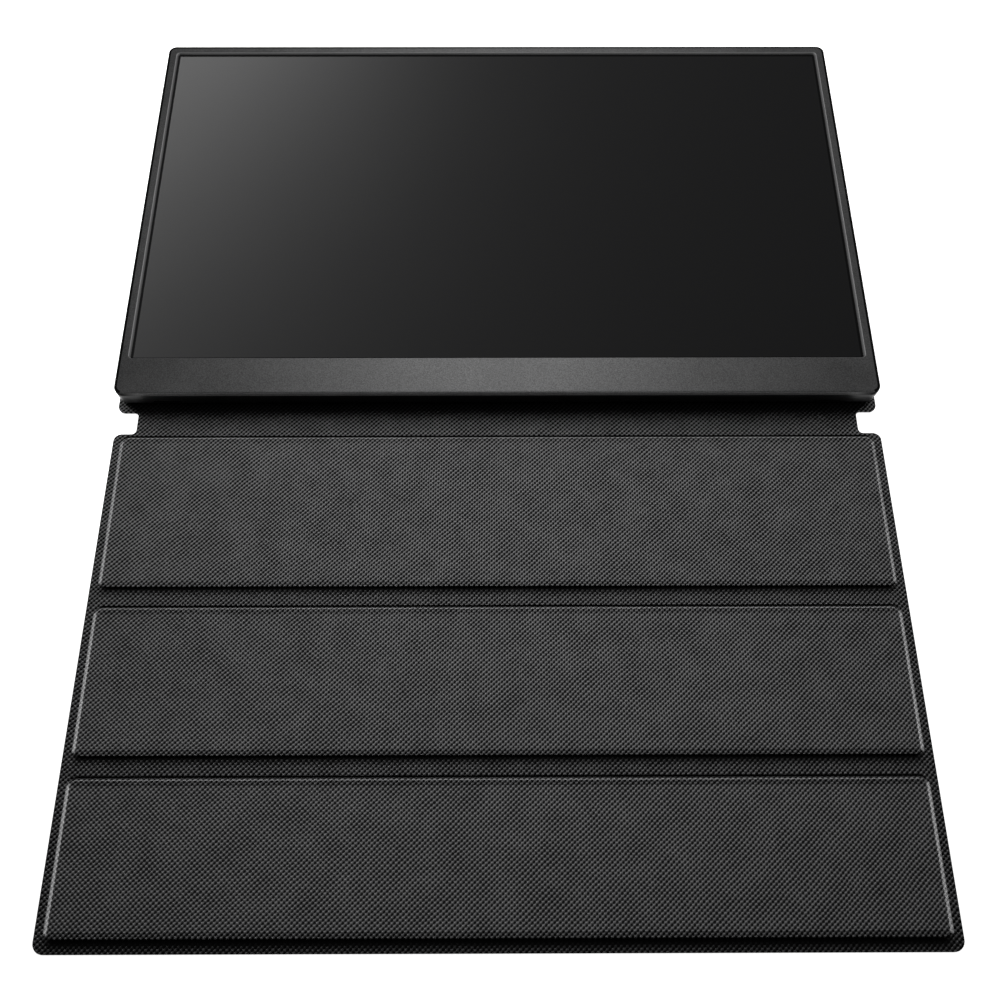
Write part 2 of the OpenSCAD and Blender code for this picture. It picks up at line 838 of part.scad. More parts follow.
// Flat cable on the shell's floor from the main board's edge to the button bracket
module button_cable() {
    x_from = x_board + main_board_w + fit;
    x_to = x_right + bracket_back;
    riser_h = z_pcb_top + cable_t - z_floor;
    color("#8a8c8e") at_u(button_cable_u - button_cable_w / 2) translate([0, 0, z_floor]) {
        translate([x_from, 0, 0]) cube([x_to - x_from, button_cable_w, cable_t]);
        translate([x_from, 0, 0]) cube([cable_t, button_cable_w, riser_h]);
        translate([x_from - 5, 0, riser_h - cable_t]) cube([5 + cable_t, button_cable_w, cable_t]);
        translate([x_to - cable_t, 0, 0]) cube([cable_t, button_cable_w, riser_h]);
    }
}

speaker_u = shell_wall + mesh_t + fit;

// Flat box speaker whose mouth faces its slot
module speaker(x) {
    color("#19191a") at_u(speaker_u) translate([x, 0, 0]) difference() {
        translate([-speaker_len / 2, 0, z_floor]) cube([speaker_len, speaker_d, speaker_h]);
        translate([0, 1, z_slot]) rotate([90, 0, 0]) linear_extrude(1 + cut)
            stadium(slot_len, slot_h);
    }
}

module speaker_left() {
    speaker(-x_speaker);
}

module speaker_right() {
    speaker(x_speaker);
}

// Perforated strips between the slots and the speakers
module speaker_meshes() {
    holes = 12;
    hole_r = 0.35;
    mesh_h = slot_h + 1.2;
    color("#3c3d3f") for (s = [-1, 1]) at_u(shell_wall) translate([s * x_speaker, 0, 0]) difference() {
        translate([-slot_len / 2 - 1, 0, z_floor]) cube([slot_len + 2, mesh_t, mesh_h]);
        for (i = [0 : holes - 1])
            translate([(i + 0.5) * slot_len / holes - slot_len / 2, mesh_t + cut, z_slot])
                rotate([90, 0, 0]) cylinder(h = mesh_t + 2 * cut, r = hole_r, $fn = 16);
    }
}

// Two-wire leads from the speakers to the main board's front edge
module speaker_leads() {
    u_from = speaker_u + speaker_d;
    u_run = u_from + 4;
    u_to = main_board_u - fit;
    x_end = x_board + main_board_w - 12;
    color("#9c2f2a") {
        at_u(u_from) translate([-x_speaker, 0, z_floor]) cube([lead_w, u_to - u_from, lead_h]);
        at_u(u_from) translate([x_speaker - lead_w, 0, z_floor])
            cube([lead_w, u_run + lead_w - u_from, lead_h]);
        at_u(u_run) translate([x_end, 0, z_floor]) cube([x_speaker - x_end, lead_w, lead_h]);
        at_u(u_run) translate([x_end, 0, z_floor]) cube([lead_w, u_to - u_run, lead_h]);
    }
}

// ---------- monitor: rear ----------

module steel_plates() {
    color("#9a9c9e") for (x = magnet_xs, u = magnet_us)
        at_u(u - plate_d / 2) translate([x - plate_w / 2, 0, z_floor])
            cube([plate_w, plate_d, plate_t]);
}

// Bar magnets by the top wall, which pull panel 3's magnets when the cover is closed
module top_edge_magnets() {
    color("#b8babd") for (x = latch_xs) at_u(latch_closed_u)
        translate([x - latch_w / 2, 0, z_floor]) cube([latch_w, latch_d, z_tray - z_floor - fit]);
}

// Outer block of the rear shell: slightly tapered walls and a rounded bottom edge
module shell_block() {
    // Share of a 45 degree point on a round edge
    k = 1 - cos(45);
    levels = [
        [shell_taper + shell_bevel, 0],
        [shell_taper + k * shell_bevel, k * shell_bevel],
        [shell_taper, shell_bevel],
        [0, z_split - z_back - 0.01]
    ];
    hull() for (level = levels) plate(
        monitor_w - 2 * level[0], monitor_h - 2 * level[0], 0.01,
        level[0], z_back + level[1], monitor_r - level[0] / 2, $fn = 32
    );
}

rib_t = 1.2;
rib_w = (magnet_columns - 1) * magnet_pitch + plate_w;
post_x = 70;
post_u = main_board_u - 3;
rib_us = [
    main_board_end + 8, (magnet_us[0] + magnet_us[1]) / 2, magnet_us[1] + plate_d / 2 + 6
];

module socket_holes() {
    h = shell_wall + 2 * cut;
    for (i = [0, 1]) on_left_wall(usb_u + i * usb_pitch, z_usb) translate([0, 0, -cut])
        linear_extrude(h) stadium(usb_w + 2 * key_play, usb_h + 2 * key_play);
    on_left_wall(hdmi_u, z_hdmi) translate([0, 0, -cut])
        linear_extrude(h) hdmi_outline(hdmi_w + 2 * key_play, hdmi_h + 2 * key_play);
    on_left_wall(jack_u, z_jack) translate([0, 0, -cut]) cylinder(h = h, r = jack_collar_r + key_play);
}

module key_holes() {
    h = shell_wall + 2 * cut;
    tilt_play = -z_pivot * sin(rocker_tilt);
    on_right_wall(power_u) translate([0, 0, -shell_wall - cut])
        linear_extrude(h) stadium(power_len + 2 * key_play, key_h + 2 * key_play);
    on_right_wall(rocker_u) translate([0, 0, -shell_wall - cut]) linear_extrude(h)
        stadium(rocker_len + 2 * (key_play + tilt_play), key_h + 2 * key_play);
}

module rear_shell() {
    color("#2f3032") {
        difference() {
            shell_block();
            plate(
                monitor_w - 2 * shell_wall, monitor_h - 2 * shell_wall, monitor_t,
                shell_wall, z_floor, monitor_r - shell_wall
            );
            socket_holes();
            key_holes();
            for (s = [-1, 1]) at_u(shell_wall + cut) translate([s * x_speaker, 0, z_slot])
                rotate([90, 0, 0]) linear_extrude(shell_wall + 2 * cut) stadium(slot_len, slot_h);
            board_screw_holes(screw_r + screw_play, z_back + shell_floor / 2, shell_floor);
        }
        difference() {
            board_screw_holes(boss_r, z_floor, boss_h);
            board_screw_holes(screw_r + screw_play, z_floor - cut, boss_h + 2 * cut);
        }
        for (u = rib_us) at_u(u) translate([-rib_w / 2, 0, z_floor])
            cube([rib_w, rib_t, z_tray - z_floor]);
        for (s = [-1, 1]) at_u(post_u) translate([s * post_x - 2, 0, z_floor])
            cube([4, rib_t, z_tray - z_floor]);
    }
}

// ---------- assembly ----------

outer_fabric_back();
back_board();
lining_back();
back_magnets();
back_fold();
outer_fabric_prop();
prop_board();
lining_prop();
rear_crease();
outer_fabric_spine();
lining_spine();
front_crease();
outer_fabric_panel_1();
board_panel_1();
lining_panel_1();
groove_fold_1();
outer_fabric_panel_2();
board_panel_2();
lining_panel_2();
groove_fold_2();
outer_fabric_panel_3();
board_panel_3();
lining_panel_3();
panel_3_magnets();
front_frame();
screen_gasket();
lcd_cell();
optical_films();
light_guide();
reflector_sheet();
led_bar();
backlight_tray();
driver_board();
cell_flexes();
display_cable();
main_board();
board_shield();
usb_c_sockets();
mini_hdmi_socket();
audio_jack();
board_screws();
button_board();
button_bracket();
power_button();
menu_rocker();
button_cable();
speaker_left();
speaker_right();
speaker_meshes();
speaker_leads();
steel_plates();
top_edge_magnets();
rear_shell();
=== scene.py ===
"""Portable monitor lying face up on its opened folding cover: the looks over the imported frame.

Everything is in metres, in the frame's own coordinates: +X is to the right of a person who
faces the screen, +Y runs from the flap towards the top of the screen and +Z is up.
"""
import json
import math

import bmesh
import bpy
from mathutils import Matrix, Vector


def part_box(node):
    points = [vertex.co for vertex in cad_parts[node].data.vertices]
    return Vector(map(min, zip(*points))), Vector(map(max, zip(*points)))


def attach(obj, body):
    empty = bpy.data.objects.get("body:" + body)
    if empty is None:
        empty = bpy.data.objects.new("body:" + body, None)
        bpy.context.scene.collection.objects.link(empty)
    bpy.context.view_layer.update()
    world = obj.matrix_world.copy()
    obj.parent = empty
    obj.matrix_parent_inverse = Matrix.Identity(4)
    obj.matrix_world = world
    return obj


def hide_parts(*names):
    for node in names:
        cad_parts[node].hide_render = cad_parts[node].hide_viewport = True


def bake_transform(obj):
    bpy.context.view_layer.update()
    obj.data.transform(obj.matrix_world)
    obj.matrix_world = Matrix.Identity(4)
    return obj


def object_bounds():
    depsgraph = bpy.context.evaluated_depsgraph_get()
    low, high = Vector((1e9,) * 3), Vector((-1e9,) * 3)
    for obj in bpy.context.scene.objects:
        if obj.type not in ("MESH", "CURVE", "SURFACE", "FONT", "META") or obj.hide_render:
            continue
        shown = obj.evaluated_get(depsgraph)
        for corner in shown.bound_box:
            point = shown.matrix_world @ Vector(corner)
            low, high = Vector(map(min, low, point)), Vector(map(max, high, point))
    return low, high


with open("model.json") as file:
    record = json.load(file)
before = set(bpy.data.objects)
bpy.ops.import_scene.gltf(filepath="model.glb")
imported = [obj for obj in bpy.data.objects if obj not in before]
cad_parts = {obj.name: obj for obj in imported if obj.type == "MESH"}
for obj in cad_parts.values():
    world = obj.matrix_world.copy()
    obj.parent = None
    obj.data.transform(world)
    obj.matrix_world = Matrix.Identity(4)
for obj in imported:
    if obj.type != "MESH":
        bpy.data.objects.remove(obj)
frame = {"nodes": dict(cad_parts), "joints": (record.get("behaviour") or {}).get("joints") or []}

bl_info = {
    "name": "Portable Monitor With Cover",
    "version": (1, 0, 0),
    "blender": (4, 5, 0),
    "location": "View3D > Sidebar > Monitor",
    "description": "Builds the monitor, its folding cover and a small studio",
    "category": "Object",
}

MM = 0.001
cad_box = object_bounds()
# Points closer than this are one point
MERGE = 0.001 * MM
# Steps round a corner of the monitor's outlines, and of the cover's
CORNER_STEPS = 10
COVER_CORNER_STEPS = 8
# Faces that meet at less than this are shaded smooth
SMOOTH_ANGLE = math.radians(32)
# In a CAD mesh, edges below the first angle are dissolved and those above the second bevelled
FLAT_ANGLE = math.radians(1)
SHARP_ANGLE = math.radians(50)
# How far apart rings stand while they are bridged
RING_GAP = 20 * MM


def length(name, description, millimetres):
    """A size that a user can change, in millimetres here and in scene units in the panel."""
    return bpy.props.FloatProperty(
        name=name, description=description, default=millimetres * MM,
        unit="LENGTH", subtype="DISTANCE", precision=5,
    )


def colour(name, description, red, green, blue):
    """A colour that a user can change."""
    return bpy.props.FloatVectorProperty(
        name=name, description=description, default=(red, green, blue),
        subtype="COLOR", size=3, min=0.0, max=1.0,
    )


def factor(name, description, value):
    """A plain number that a user can change."""
    return bpy.props.FloatProperty(name=name, description=description, default=value, min=0.0)


class MonitorSizes(bpy.types.PropertyGroup):
    """Sizes of the monitor's visible parts that the frame's boxes don't give."""

    corner: length("Corner radius", "Radius of the monitor's corners", 4.0)
    opening_corner: length("Opening radius", "Radius of the opening's corners", 1.2)
    reveal: length("Reveal", "How far the screen reaches under the frame", 2.0)
    lip: length("Lip", "Width of the bevelled lip round the opening", 0.9)
    face: length("Face thickness", "Thickness of the frame's face", 0.8)
    band: length("Side band", "Height of the frame's side band", 2.5)
    edge: length("Edge radius", "Rounding of the frame's outer edge", 0.45)
    wall: length("Wall play", "From the side band in to the skirt's outer face", 1.55)
    skirt: length("Skirt thickness", "Thickness of the skirt inside the shell", 0.6)
    border: length("Border", "Black border round the picture", 1.1)
    # The black rim is painted shade on the frame's outer edge and side band
    rim: length("Black rim", "Width of the black rim inside the rounded edge", 0.85)
    # How far the rim's painted shade reaches in along the front edge from each corner
    fade: length("Rim fade", "How far from the corner the black rim fades on the front edge", 18.0)
    crisp: length("Support", "Distance of the loops that keep flat faces flat", 0.05)


class CoverSizes(bpy.types.PropertyGroup):
    """Sizes of the cover's fabric that the frame's boxes don't give."""

    corner: length("Corner radius", "Radius of the cover's outer corners", 4.5)
    ear: length("Notch corner radius", "Radius of the corners beside the notches", 3.6)
    notch: length("Notch depth", "Depth of the notches beside the spine", 10.0)
    notch_corner: length("Notch radius", "Radius of the notches' inner corners", 2.2)
    skin: length("Fabric", "Thickness of the outer fabric and of the lining", 0.6)
    board_corner: length("Board radius", "Radius of the boards' corners", 2.3)
    hem: length("Edge radius", "Rounding of the fabric's cut edge", 0.22)


class WeaveLook(bpy.types.PropertyGroup):
    """The woven fabric of the cover."""

    pitch_x: length("Pitch across", "Distance of the weave's knots across the cover", 2.2)
    pitch_y: length("Pitch along", "Distance of the weave's knots along the cover", 2.13)
    depth: length("Depth", "Height of the knots", 0.42)
    drift: factor("Drift", "How far the knots wander, as a share of the distance", 0.5)
    valley: colour("Gaps", "Colour between the threads", 0.003, 0.003, 0.003)
    thread: colour("Thread", "Colour of the threads", 0.11, 0.11, 0.113)
    # Colour of the painted highlight on the threads over the boards' slopes
    painted_highlight: colour("Taut", "Colour of the threads that are stretched over an edge", 0.97, 0.97, 0.98)


class MonitorLook(bpy.types.PropertyGroup):
    """Colours of the monitor's shells and screen."""

    frame: colour("Frame", "Sand-blasted metal of the front frame", 0.113, 0.113, 0.114)
    shell: colour("Shell", "Sand-blasted metal of the rear shell", 0.020, 0.020, 0.021)
    screen: colour("Screen", "The screen when it is off", 0.0185, 0.0185, 0.019)
    key: colour("Keys", "Plastic of the keys", 0.035, 0.035, 0.037)


class StudioLook(bpy.types.PropertyGroup):
    """The floor and the light."""

    floor: colour("Floor", "The pale floor", 0.93, 0.93, 0.93)
    left: factor("Left key", "Power of the soft light behind on the left", 1.02)
    right: factor("Right key", "Power of the soft light behind on the right", 0.72)
    strips: factor("Strips", "Power of the low strips that only the frame shows", 5.0)
    bank: factor("Bank", "Power of the light that only the monitor's frame shows", 3.2)
    front: factor("Front", "Power of the low light on the monitor's front edge", 2.0)
    sheen: factor("Sheen", "Power of the light that only the screen reflects", 14.8)
    sky: factor("Sky", "Strength of the even light all round", 0.03)
    glow: factor("Glow", "Light that comes through the floor", 1.06)


# ---------- materials ----------


class Wire:
    """One output of a node, which takes part in sums."""

    def __init__(self, finish, socket):
        self.finish = finish
        self.socket = socket

    def _math(self, operation, first, second):
        return self.finish.node("ShaderNodeMath", {"operation": operation}, {0: first, 1: second})

    def __add__(self, other):
        return self._math("ADD", self, other)

    def __sub__(self, other):
        return self._math("SUBTRACT", self, other)

    def __rsub__(self, other):
        return self._math("SUBTRACT", other, self)

    def __mul__(self, other):
        return self._math("MULTIPLY", self, other)

    def __truediv__(self, other):
        return self._math("DIVIDE", self, other)

    def __gt__(self, other):
        return self._math("GREATER_THAN", self, other)

    __radd__ = __add__

    def clipped(self):
        """The value kept between 0 and 1."""
        return self.finish.node(
            "ShaderNodeMath", {"operation": "ADD", "use_clamp": True}, {0: self, 1: 0.0}
        )

    def size(self):
        """The value without its sign."""
        return self.finish.node("ShaderNodeMath", {"operation": "ABSOLUTE"}, {0: self})

    def wave(self, period):
        """A wave from -1 to 1 that repeats over the period."""
        return self.finish.node(
            "ShaderNodeMath", {"operation": "SINE"}, {0: self * (math.tau / period)}
        )


class Finish:
    """A material in the making. It reads Object coordinates, which are the frame's metres.

    On a piece that bends it reads an attribute instead, with each point's place at rest.
    """

    def __init__(self, name, attribute=None):
        self.material = bpy.data.materials.new(name)
        self.material.use_nodes = True
        self.tree = self.material.node_tree
        self.tree.nodes.clear()
        if attribute:
            self.place = self.painted(attribute, "Vector")
        else:
            self.place = self.node("ShaderNodeTexCoord", {}, {}, "Object")
        split = self.node("ShaderNodeSeparateXYZ", {}, {0: self.place}).socket.node
        self.x, self.y, self.z = (Wire(self, split.outputs[i]) for i in range(3))

    def node(self, kind, settings, inputs, output=0):
        """A node of a kind with its settings, then its inputs. Gives back one output."""
        made = self.tree.nodes.new(kind)
        for name, value in settings.items():
            if name == "stops":
                self._set_stops(made.color_ramp, value)
            else:
                setattr(made, name, value)
        for key, value in inputs.items():
            if isinstance(value, Wire):
                self.tree.links.new(value.socket, made.inputs[key])
            else:
                made.inputs[key].default_value = value
        return Wire(self, made.outputs[output])

    @staticmethod
    def _set_stops(ramp, stops):
        while len(ramp.elements) < len(stops):
            ramp.elements.new(1.0)
        for element, (position, shade) in zip(ramp.elements, stops):
            element.position = position
            element.color = shade

    def painted(self, attribute, output="Fac"):
        """A value that the mesh's points carry."""
        return self.node("ShaderNodeAttribute", {"attribute_name": attribute}, {}, output)

    def noise(self, size, detail=2.0, place=None):
        """Cloudy noise whose blobs are about one size across."""
        inputs = {"Vector": place or self.place, "Scale": 1.0 / size, "Detail": detail}
        return self.node("ShaderNodeTexNoise", {}, inputs)

    def ramp(self, value, *stops):
        """A grey ramp through (position, brightness) stops."""
        shades = [(at, (shade, shade, shade, 1.0)) for at, shade in stops]
        return self.node("ShaderNodeValToRGB", {"stops": shades}, {0: value})

    def mix(self, amount, first, second):
        """From one colour to another."""
        inputs = {0: amount, 6: first, 7: second}
        return self.node("ShaderNodeMix", {"data_type": "RGBA"}, inputs, 2)

    def bump(self, height, depth):
        """Normals of a surface with that height, from 0 to 1, times the depth."""
        inputs = {"Height": height, "Distance": depth, "Strength": 1.0}
        return self.node("ShaderNodeBump", {}, inputs)

    def surface(self, inputs):
        """A Principled surface."""
        return self.node("ShaderNodeBsdfPrincipled", {}, inputs)

    def between(self, amount, first, second):
        """From one surface to another."""
        return self.node("ShaderNodeMixShader", {}, {0: amount, 1: first, 2: second})

    def done(self, shader):
        """Ends in that shader and gives back the material."""
        end = self.tree.nodes.new("ShaderNodeOutputMaterial")
        self.tree.links.new(shader.socket, end.inputs[0])
        return self.material


def shade_of(rgb, scale=1.0):
    """A colour with alpha, brightened or darkened."""
    return (rgb[0] * scale, rgb[1] * scale, rgb[2] * scale, 1.0)


# How far clouds change the roughness of a surface
ROUGH_PLAY = 0.12
# Size of those clouds
CLOUD = 20 * MM


def grained(name, rgb, grain, depth, rough, metallic=0.0, mottle=0.12, glow=0.0):
    """A fine-grained surface: speckled colour, slight clouds, and a bump of the grain."""
    made = Finish(name)
    speckle = made.noise(grain, 3.0)
    clouds = made.noise(CLOUD, 2.0)
    tone = made.ramp(speckle * 0.7 + clouds * 0.3, (0.3, 0.0), (0.7, 1.0))
    base = made.mix(tone, shade_of(rgb, 1 - mottle), shade_of(rgb, 1 + mottle))
    return made.done(made.surface({
        "Base Color": base,
        "Metallic": metallic,
        "Roughness": rough - ROUGH_PLAY / 2 + clouds * ROUGH_PLAY,
        "Emission Color": shade_of(rgb),
        "Emission Strength": glow,
        "Normal": made.bump(speckle, depth),
    }))


def woven(name, look, tone):
    """Woven fabric: crossing diagonal threads whose glossy knots stand up from dark gaps."""
    made = Finish(name, "rest_place")
    drift_size = 12 * MM
    elsewhere = made.node(
        "ShaderNodeVectorMath", {"operation": "ADD"}, {0: made.place, 1: (3.7, 1.3, 0.4)}
    )
    drift_x = made.noise(drift_size)
    drift_y = made.noise(drift_size, place=elsewhere)
    x = made.x / look.pitch_x + (drift_x - 0.5) * look.drift
    y = made.y / look.pitch_y + (drift_y - 0.5) * look.drift
    rising = (x - y).wave(1.0)
    falling = (x + y).wave(1.0)
    knots = rising * 0.30 + falling * 0.20 + 0.5
    uneven = made.noise(1.6 * MM, 1.0)
    height = (knots + (uneven - 0.5) * 0.2).clipped()
    cloud = made.noise(35 * MM, 3.0)
    bright = made.ramp(height, (0.2, 0.0), (0.5, 0.3), (0.85, 1.0))
    thread = made.mix(bright, shade_of(look.thread, 0.4 * tone), shade_of(look.thread, tone))
    # Painted light from the mesh: above 0 a painted highlight turns the threads pale, below 0
    # painted shade shows only the dark gaps
    wear = made.painted("wear")
    painted_highlight = wear.clipped()
    painted_shade = (wear * -1.0).clipped()
    threads = made.surface({
        "Base Color": made.mix(painted_highlight, thread, shade_of(look.painted_highlight)),
        "Roughness": 0.42 + (cloud - 0.5) * ROUGH_PLAY,
        "Specular IOR Level": 0.5,
        "Normal": made.bump(height, look.depth),
    })
    gaps = made.surface({
        "Base Color": shade_of(look.valley, tone),
        "Roughness": 0.9,
        "Specular IOR Level": 0.02,
    })
    patch = made.noise(11 * MM)
    filled = made.ramp(height + (patch - 0.5) * 0.3, (0.27, 0.0), (0.66, 1.0))
    cover = (filled + painted_highlight * 0.8).clipped() * (1.0 - painted_shade)
    return made.done(made.between(cover, gaps, threads))


def frame_metal(look):
    """Sand-blasted metal. Its painted light is 1 for painted shade, near black on the outer rim,
    and -1 for a painted highlight on the lip.
    """
    made = Finish("frame_metal")
    speckle = made.noise(0.48 * MM, 3.0)
    clouds = made.noise(CLOUD)
    tone = made.ramp(speckle * 0.8 + clouds * 0.2, (0.3, 0.0), (0.7, 1.0))
    base = made.mix(tone, shade_of(look.frame, 0.5), shade_of(look.frame, 1.5))
    trim = made.painted("trim")
    # Painted highlight on the bevelled lip: three times the frame's colour
    lip = (trim * -1.0).clipped()
    metal = made.surface({
        "Base Color": made.mix(lip, base, shade_of(look.frame, 3.0)),
        "Metallic": 0.55,
        "Roughness": 0.38 + clouds * ROUGH_PLAY,
        "Normal": made.bump(speckle, 0.022 * MM),
    })
    # Painted shade: near black, on the outer rim and side band
    black = made.surface({
        "Base Color": made.mix(tone, shade_of(look.frame, 0.04), shade_of(look.frame, 0.08)),
        "Roughness": 0.8,
        "Specular IOR Level": 0.03,
    })
    return made.done(made.between(trim.clipped(), metal, black))


def screen_glass(look, sizes, low, high):
    """The screen when it is off: satin, inside a matt black border."""
    made = Finish("screen_glass")
    centre = (low + high) / 2
    half = (high - low) / 2
    edge_x = (made.x - centre.x).size() > half.x - sizes.border
    edge_y = (made.y - centre.y).size() > half.y - sizes.border
    haze = made.noise(0.12 * MM, 1.0)
    sheen = made.noise(60 * MM, 1.0)
    picture = made.surface({
        "Base Color": made.mix(haze, shade_of(look.screen, 0.96), shade_of(look.screen, 1.04)),
        "Roughness": 0.354 + sheen * 0.03,
        "Specular IOR Level": 0.14,
        "Normal": made.bump(haze, 0.004 * MM),
    })
    border = made.surface({
        "Base Color": made.mix(haze, shade_of(look.screen, 0.5), shade_of(look.screen, 0.6)),
        "Roughness": 0.8,
        "Specular IOR Level": 0.0,
    })
    edge = (edge_x + edge_y).clipped()
    return made.done(made.between(edge, picture, border))


def circuit_board(name):
    """Green solder mask over copper tracks, with gold pads."""
    green = (0.010, 0.085, 0.040, 1.0)
    green_on_copper = (0.018, 0.135, 0.062, 1.0)
    gold_plate = (0.62, 0.46, 0.17, 1.0)
    pads_per_metre = 420.0
    pad_radius = 0.22
    pad_edge = 40.0
    made = Finish(name)
    tracks = (made.x.wave(2.1 * MM) + made.y.wave(3.4 * MM)) > 1.1
    from_pad = made.node(
        "ShaderNodeTexVoronoi", {"feature": "F1"}, {0: made.place, "Scale": pads_per_metre}
    )
    gold = ((pad_radius - from_pad) * pad_edge).clipped()
    mask = made.mix(tracks, green, green_on_copper)
    base = made.mix(gold, mask, gold_plate)
    return made.done(made.surface({
        "Base Color": base,
        "Metallic": gold,
        "Roughness": 0.38 - gold * 0.1,
        "Normal": made.bump(tracks + gold, 0.03 * MM),
    }))


def ribbed(name, light, dark, pitch, rough):
    """A flat cable or film with parallel conductors along its length."""
    made = Finish(name)
    lines = made.ramp(made.x.wave(pitch) * 0.5 + 0.5, (0.25, 0.0), (0.75, 1.0))
    base = made.mix(lines, dark, light)
    return made.done(made.surface({
        "Base Color": base,
        "Metallic": 0.0,
        "Roughness": rough + made.noise(4 * MM) * 0.1,
        "Normal": made.bump(lines, 0.05 * MM),
    }))


def dotted(name, rgb, dot_rgb, pitch, rough):
    """A sheet with a regular grid of small dots, such as a light guide's."""
    made = Finish(name)
    grid = (made.x.wave(pitch) + made.y.wave(pitch)) * 0.25 + 0.5
    dots = made.ramp(grid, (0.82, 0.0), (0.9, 1.0))
    base = made.mix(dots, shade_of(rgb), shade_of(dot_rgb))
    return made.done(made.surface({
        "Base Color": base,
        "Roughness": rough + dots * 0.2,
        "Normal": made.bump(dots, 0.02 * MM),
    }))


def led_strip():
    """A white strip with a yellow phosphor lens at each LED."""
    led_count = 40
    made = Finish("led_strip")
    low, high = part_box("led_bar")
    pitch = (high.x - low.x) / led_count
    spots = made.ramp((made.x - low.x).wave(pitch) * 0.5 + 0.5, (0.55, 0.0), (0.7, 1.0))
    base = made.mix(spots, (0.82, 0.82, 0.80, 1.0), (0.83, 0.66, 0.16, 1.0))
    return made.done(made.surface({
        "Base Color": base,
        "Roughness": 0.45 + made.noise(2 * MM) * 0.1,
        "Normal": made.bump(spots, 0.04 * MM),
    }))


# ---------- shapes ----------


def widened(outline, by):
    """An outline (x0, y0, x1, y1), grown on every side."""
    x0, y0, x1, y1 = outline
    return (x0 - by, y0 - by, x1 + by, y1 + by)


def grown(low, high, by):
    """A box's outline seen from above, grown on every side."""
    return widened((low.x, low.y, high.x, high.y), by)


def rounded_face(bm, outline, radius, z):
    """A face with round corners that lies at height z."""
    x0, y0, x1, y1 = outline
    kept = set(bm.faces)
    corners = [bm.verts.new((x, y, z)) for x, y in ((x0, y0), (x1, y0), (x1, y1), (x0, y1))]
    bm.faces.new(corners)
    bmesh.ops.bevel(
        bm, geom=corners, offset=radius, segments=CORNER_STEPS, profile=0.5,
        affect="VERTICES", material=-1,
    )
    return next(face for face in bm.faces if face not in kept)


def lofted(bm, faces, closed):
    """Skins faces one after another. Closed joins the last to the first; open keeps both ends.

    The rings stand apart while they are bridged, because the bridge between two rings in one
    plane can come out twisted.
    """
    rings = [(list(face.verts), list(face.edges)) for face in faces]
    bmesh.ops.delete(bm, geom=faces if closed else faces[1:-1], context="FACES_ONLY")
    for level, (verts, _) in enumerate(rings):
        bmesh.ops.translate(bm, verts=verts, vec=(0.0, 0.0, level * RING_GAP))
    following = rings[1:] + rings[:1] if closed else rings[1:]
    for (_, edges), (_, others) in zip(rings, following):
        bmesh.ops.bridge_loops(bm, edges=edges + others)
    for level, (verts, _) in enumerate(rings):
        bmesh.ops.translate(bm, verts=verts, vec=(0.0, 0.0, -level * RING_GAP))


def slab(bm, low, high, radius, edge):
    """A plate with round corners and softened top and bottom edges."""
    levels = ((-edge, low.z), (0.0, low.z + edge), (0.0, high.z - edge), (-edge, high.z))
    faces = [rounded_face(bm, grown(low, high, by), radius + by, z) for by, z in levels]
    lofted(bm, faces, closed=False)


def softened_copy(node, edge):
    """A CAD node's mesh merged and cleaned, with its sharp edges rounded if edge isn't 0."""
    bm = bmesh.new()
    bm.from_mesh(frame["nodes"][node].data)
    bmesh.ops.remove_doubles(bm, verts=bm.verts, dist=MERGE)
    bmesh.ops.dissolve_limit(bm, angle_limit=FLAT_ANGLE, verts=bm.verts, edges=bm.edges)
    if edge:
        sharp = [
            e for e in bm.edges
            if len(e.link_faces) == 2 and e.calc_face_angle() > SHARP_ANGLE
        ]
        bmesh.ops.bevel(
            bm, geom=sharp, offset=edge, segments=2, profile=0.5,
            affect="EDGES", material=-1,
        )
    return bm


def new_piece(name, bm, material, slot, *nodes):
    """Makes a piece of a finished bmesh, which stands for CAD nodes."""
    bmesh.ops.recalc_face_normals(bm, faces=bm.faces)
    mesh = bpy.data.meshes.new(name)
    bm.to_mesh(mesh)
    bm.free()
    mesh.materials.append(material)
    mesh.shade_smooth()
    mesh.set_sharp_from_angle(angle=SMOOTH_ANGLE)
    piece = bpy.data.objects.new(name, mesh)
    bpy.context.scene.collection.objects.link(piece)
    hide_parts(*nodes)
    return piece


def finish_node(node, material):
    """Gives a CAD node that stays in sight its material."""
    mesh = frame["nodes"][node].data
    mesh.materials.clear()
    mesh.materials.append(material)


BOARDS = ("back_board", "prop_board", "board_panel_1", "board_panel_2", "board_panel_3")
MAGNETS = ("back_magnets", "panel_3_magnets", "top_edge_magnets")
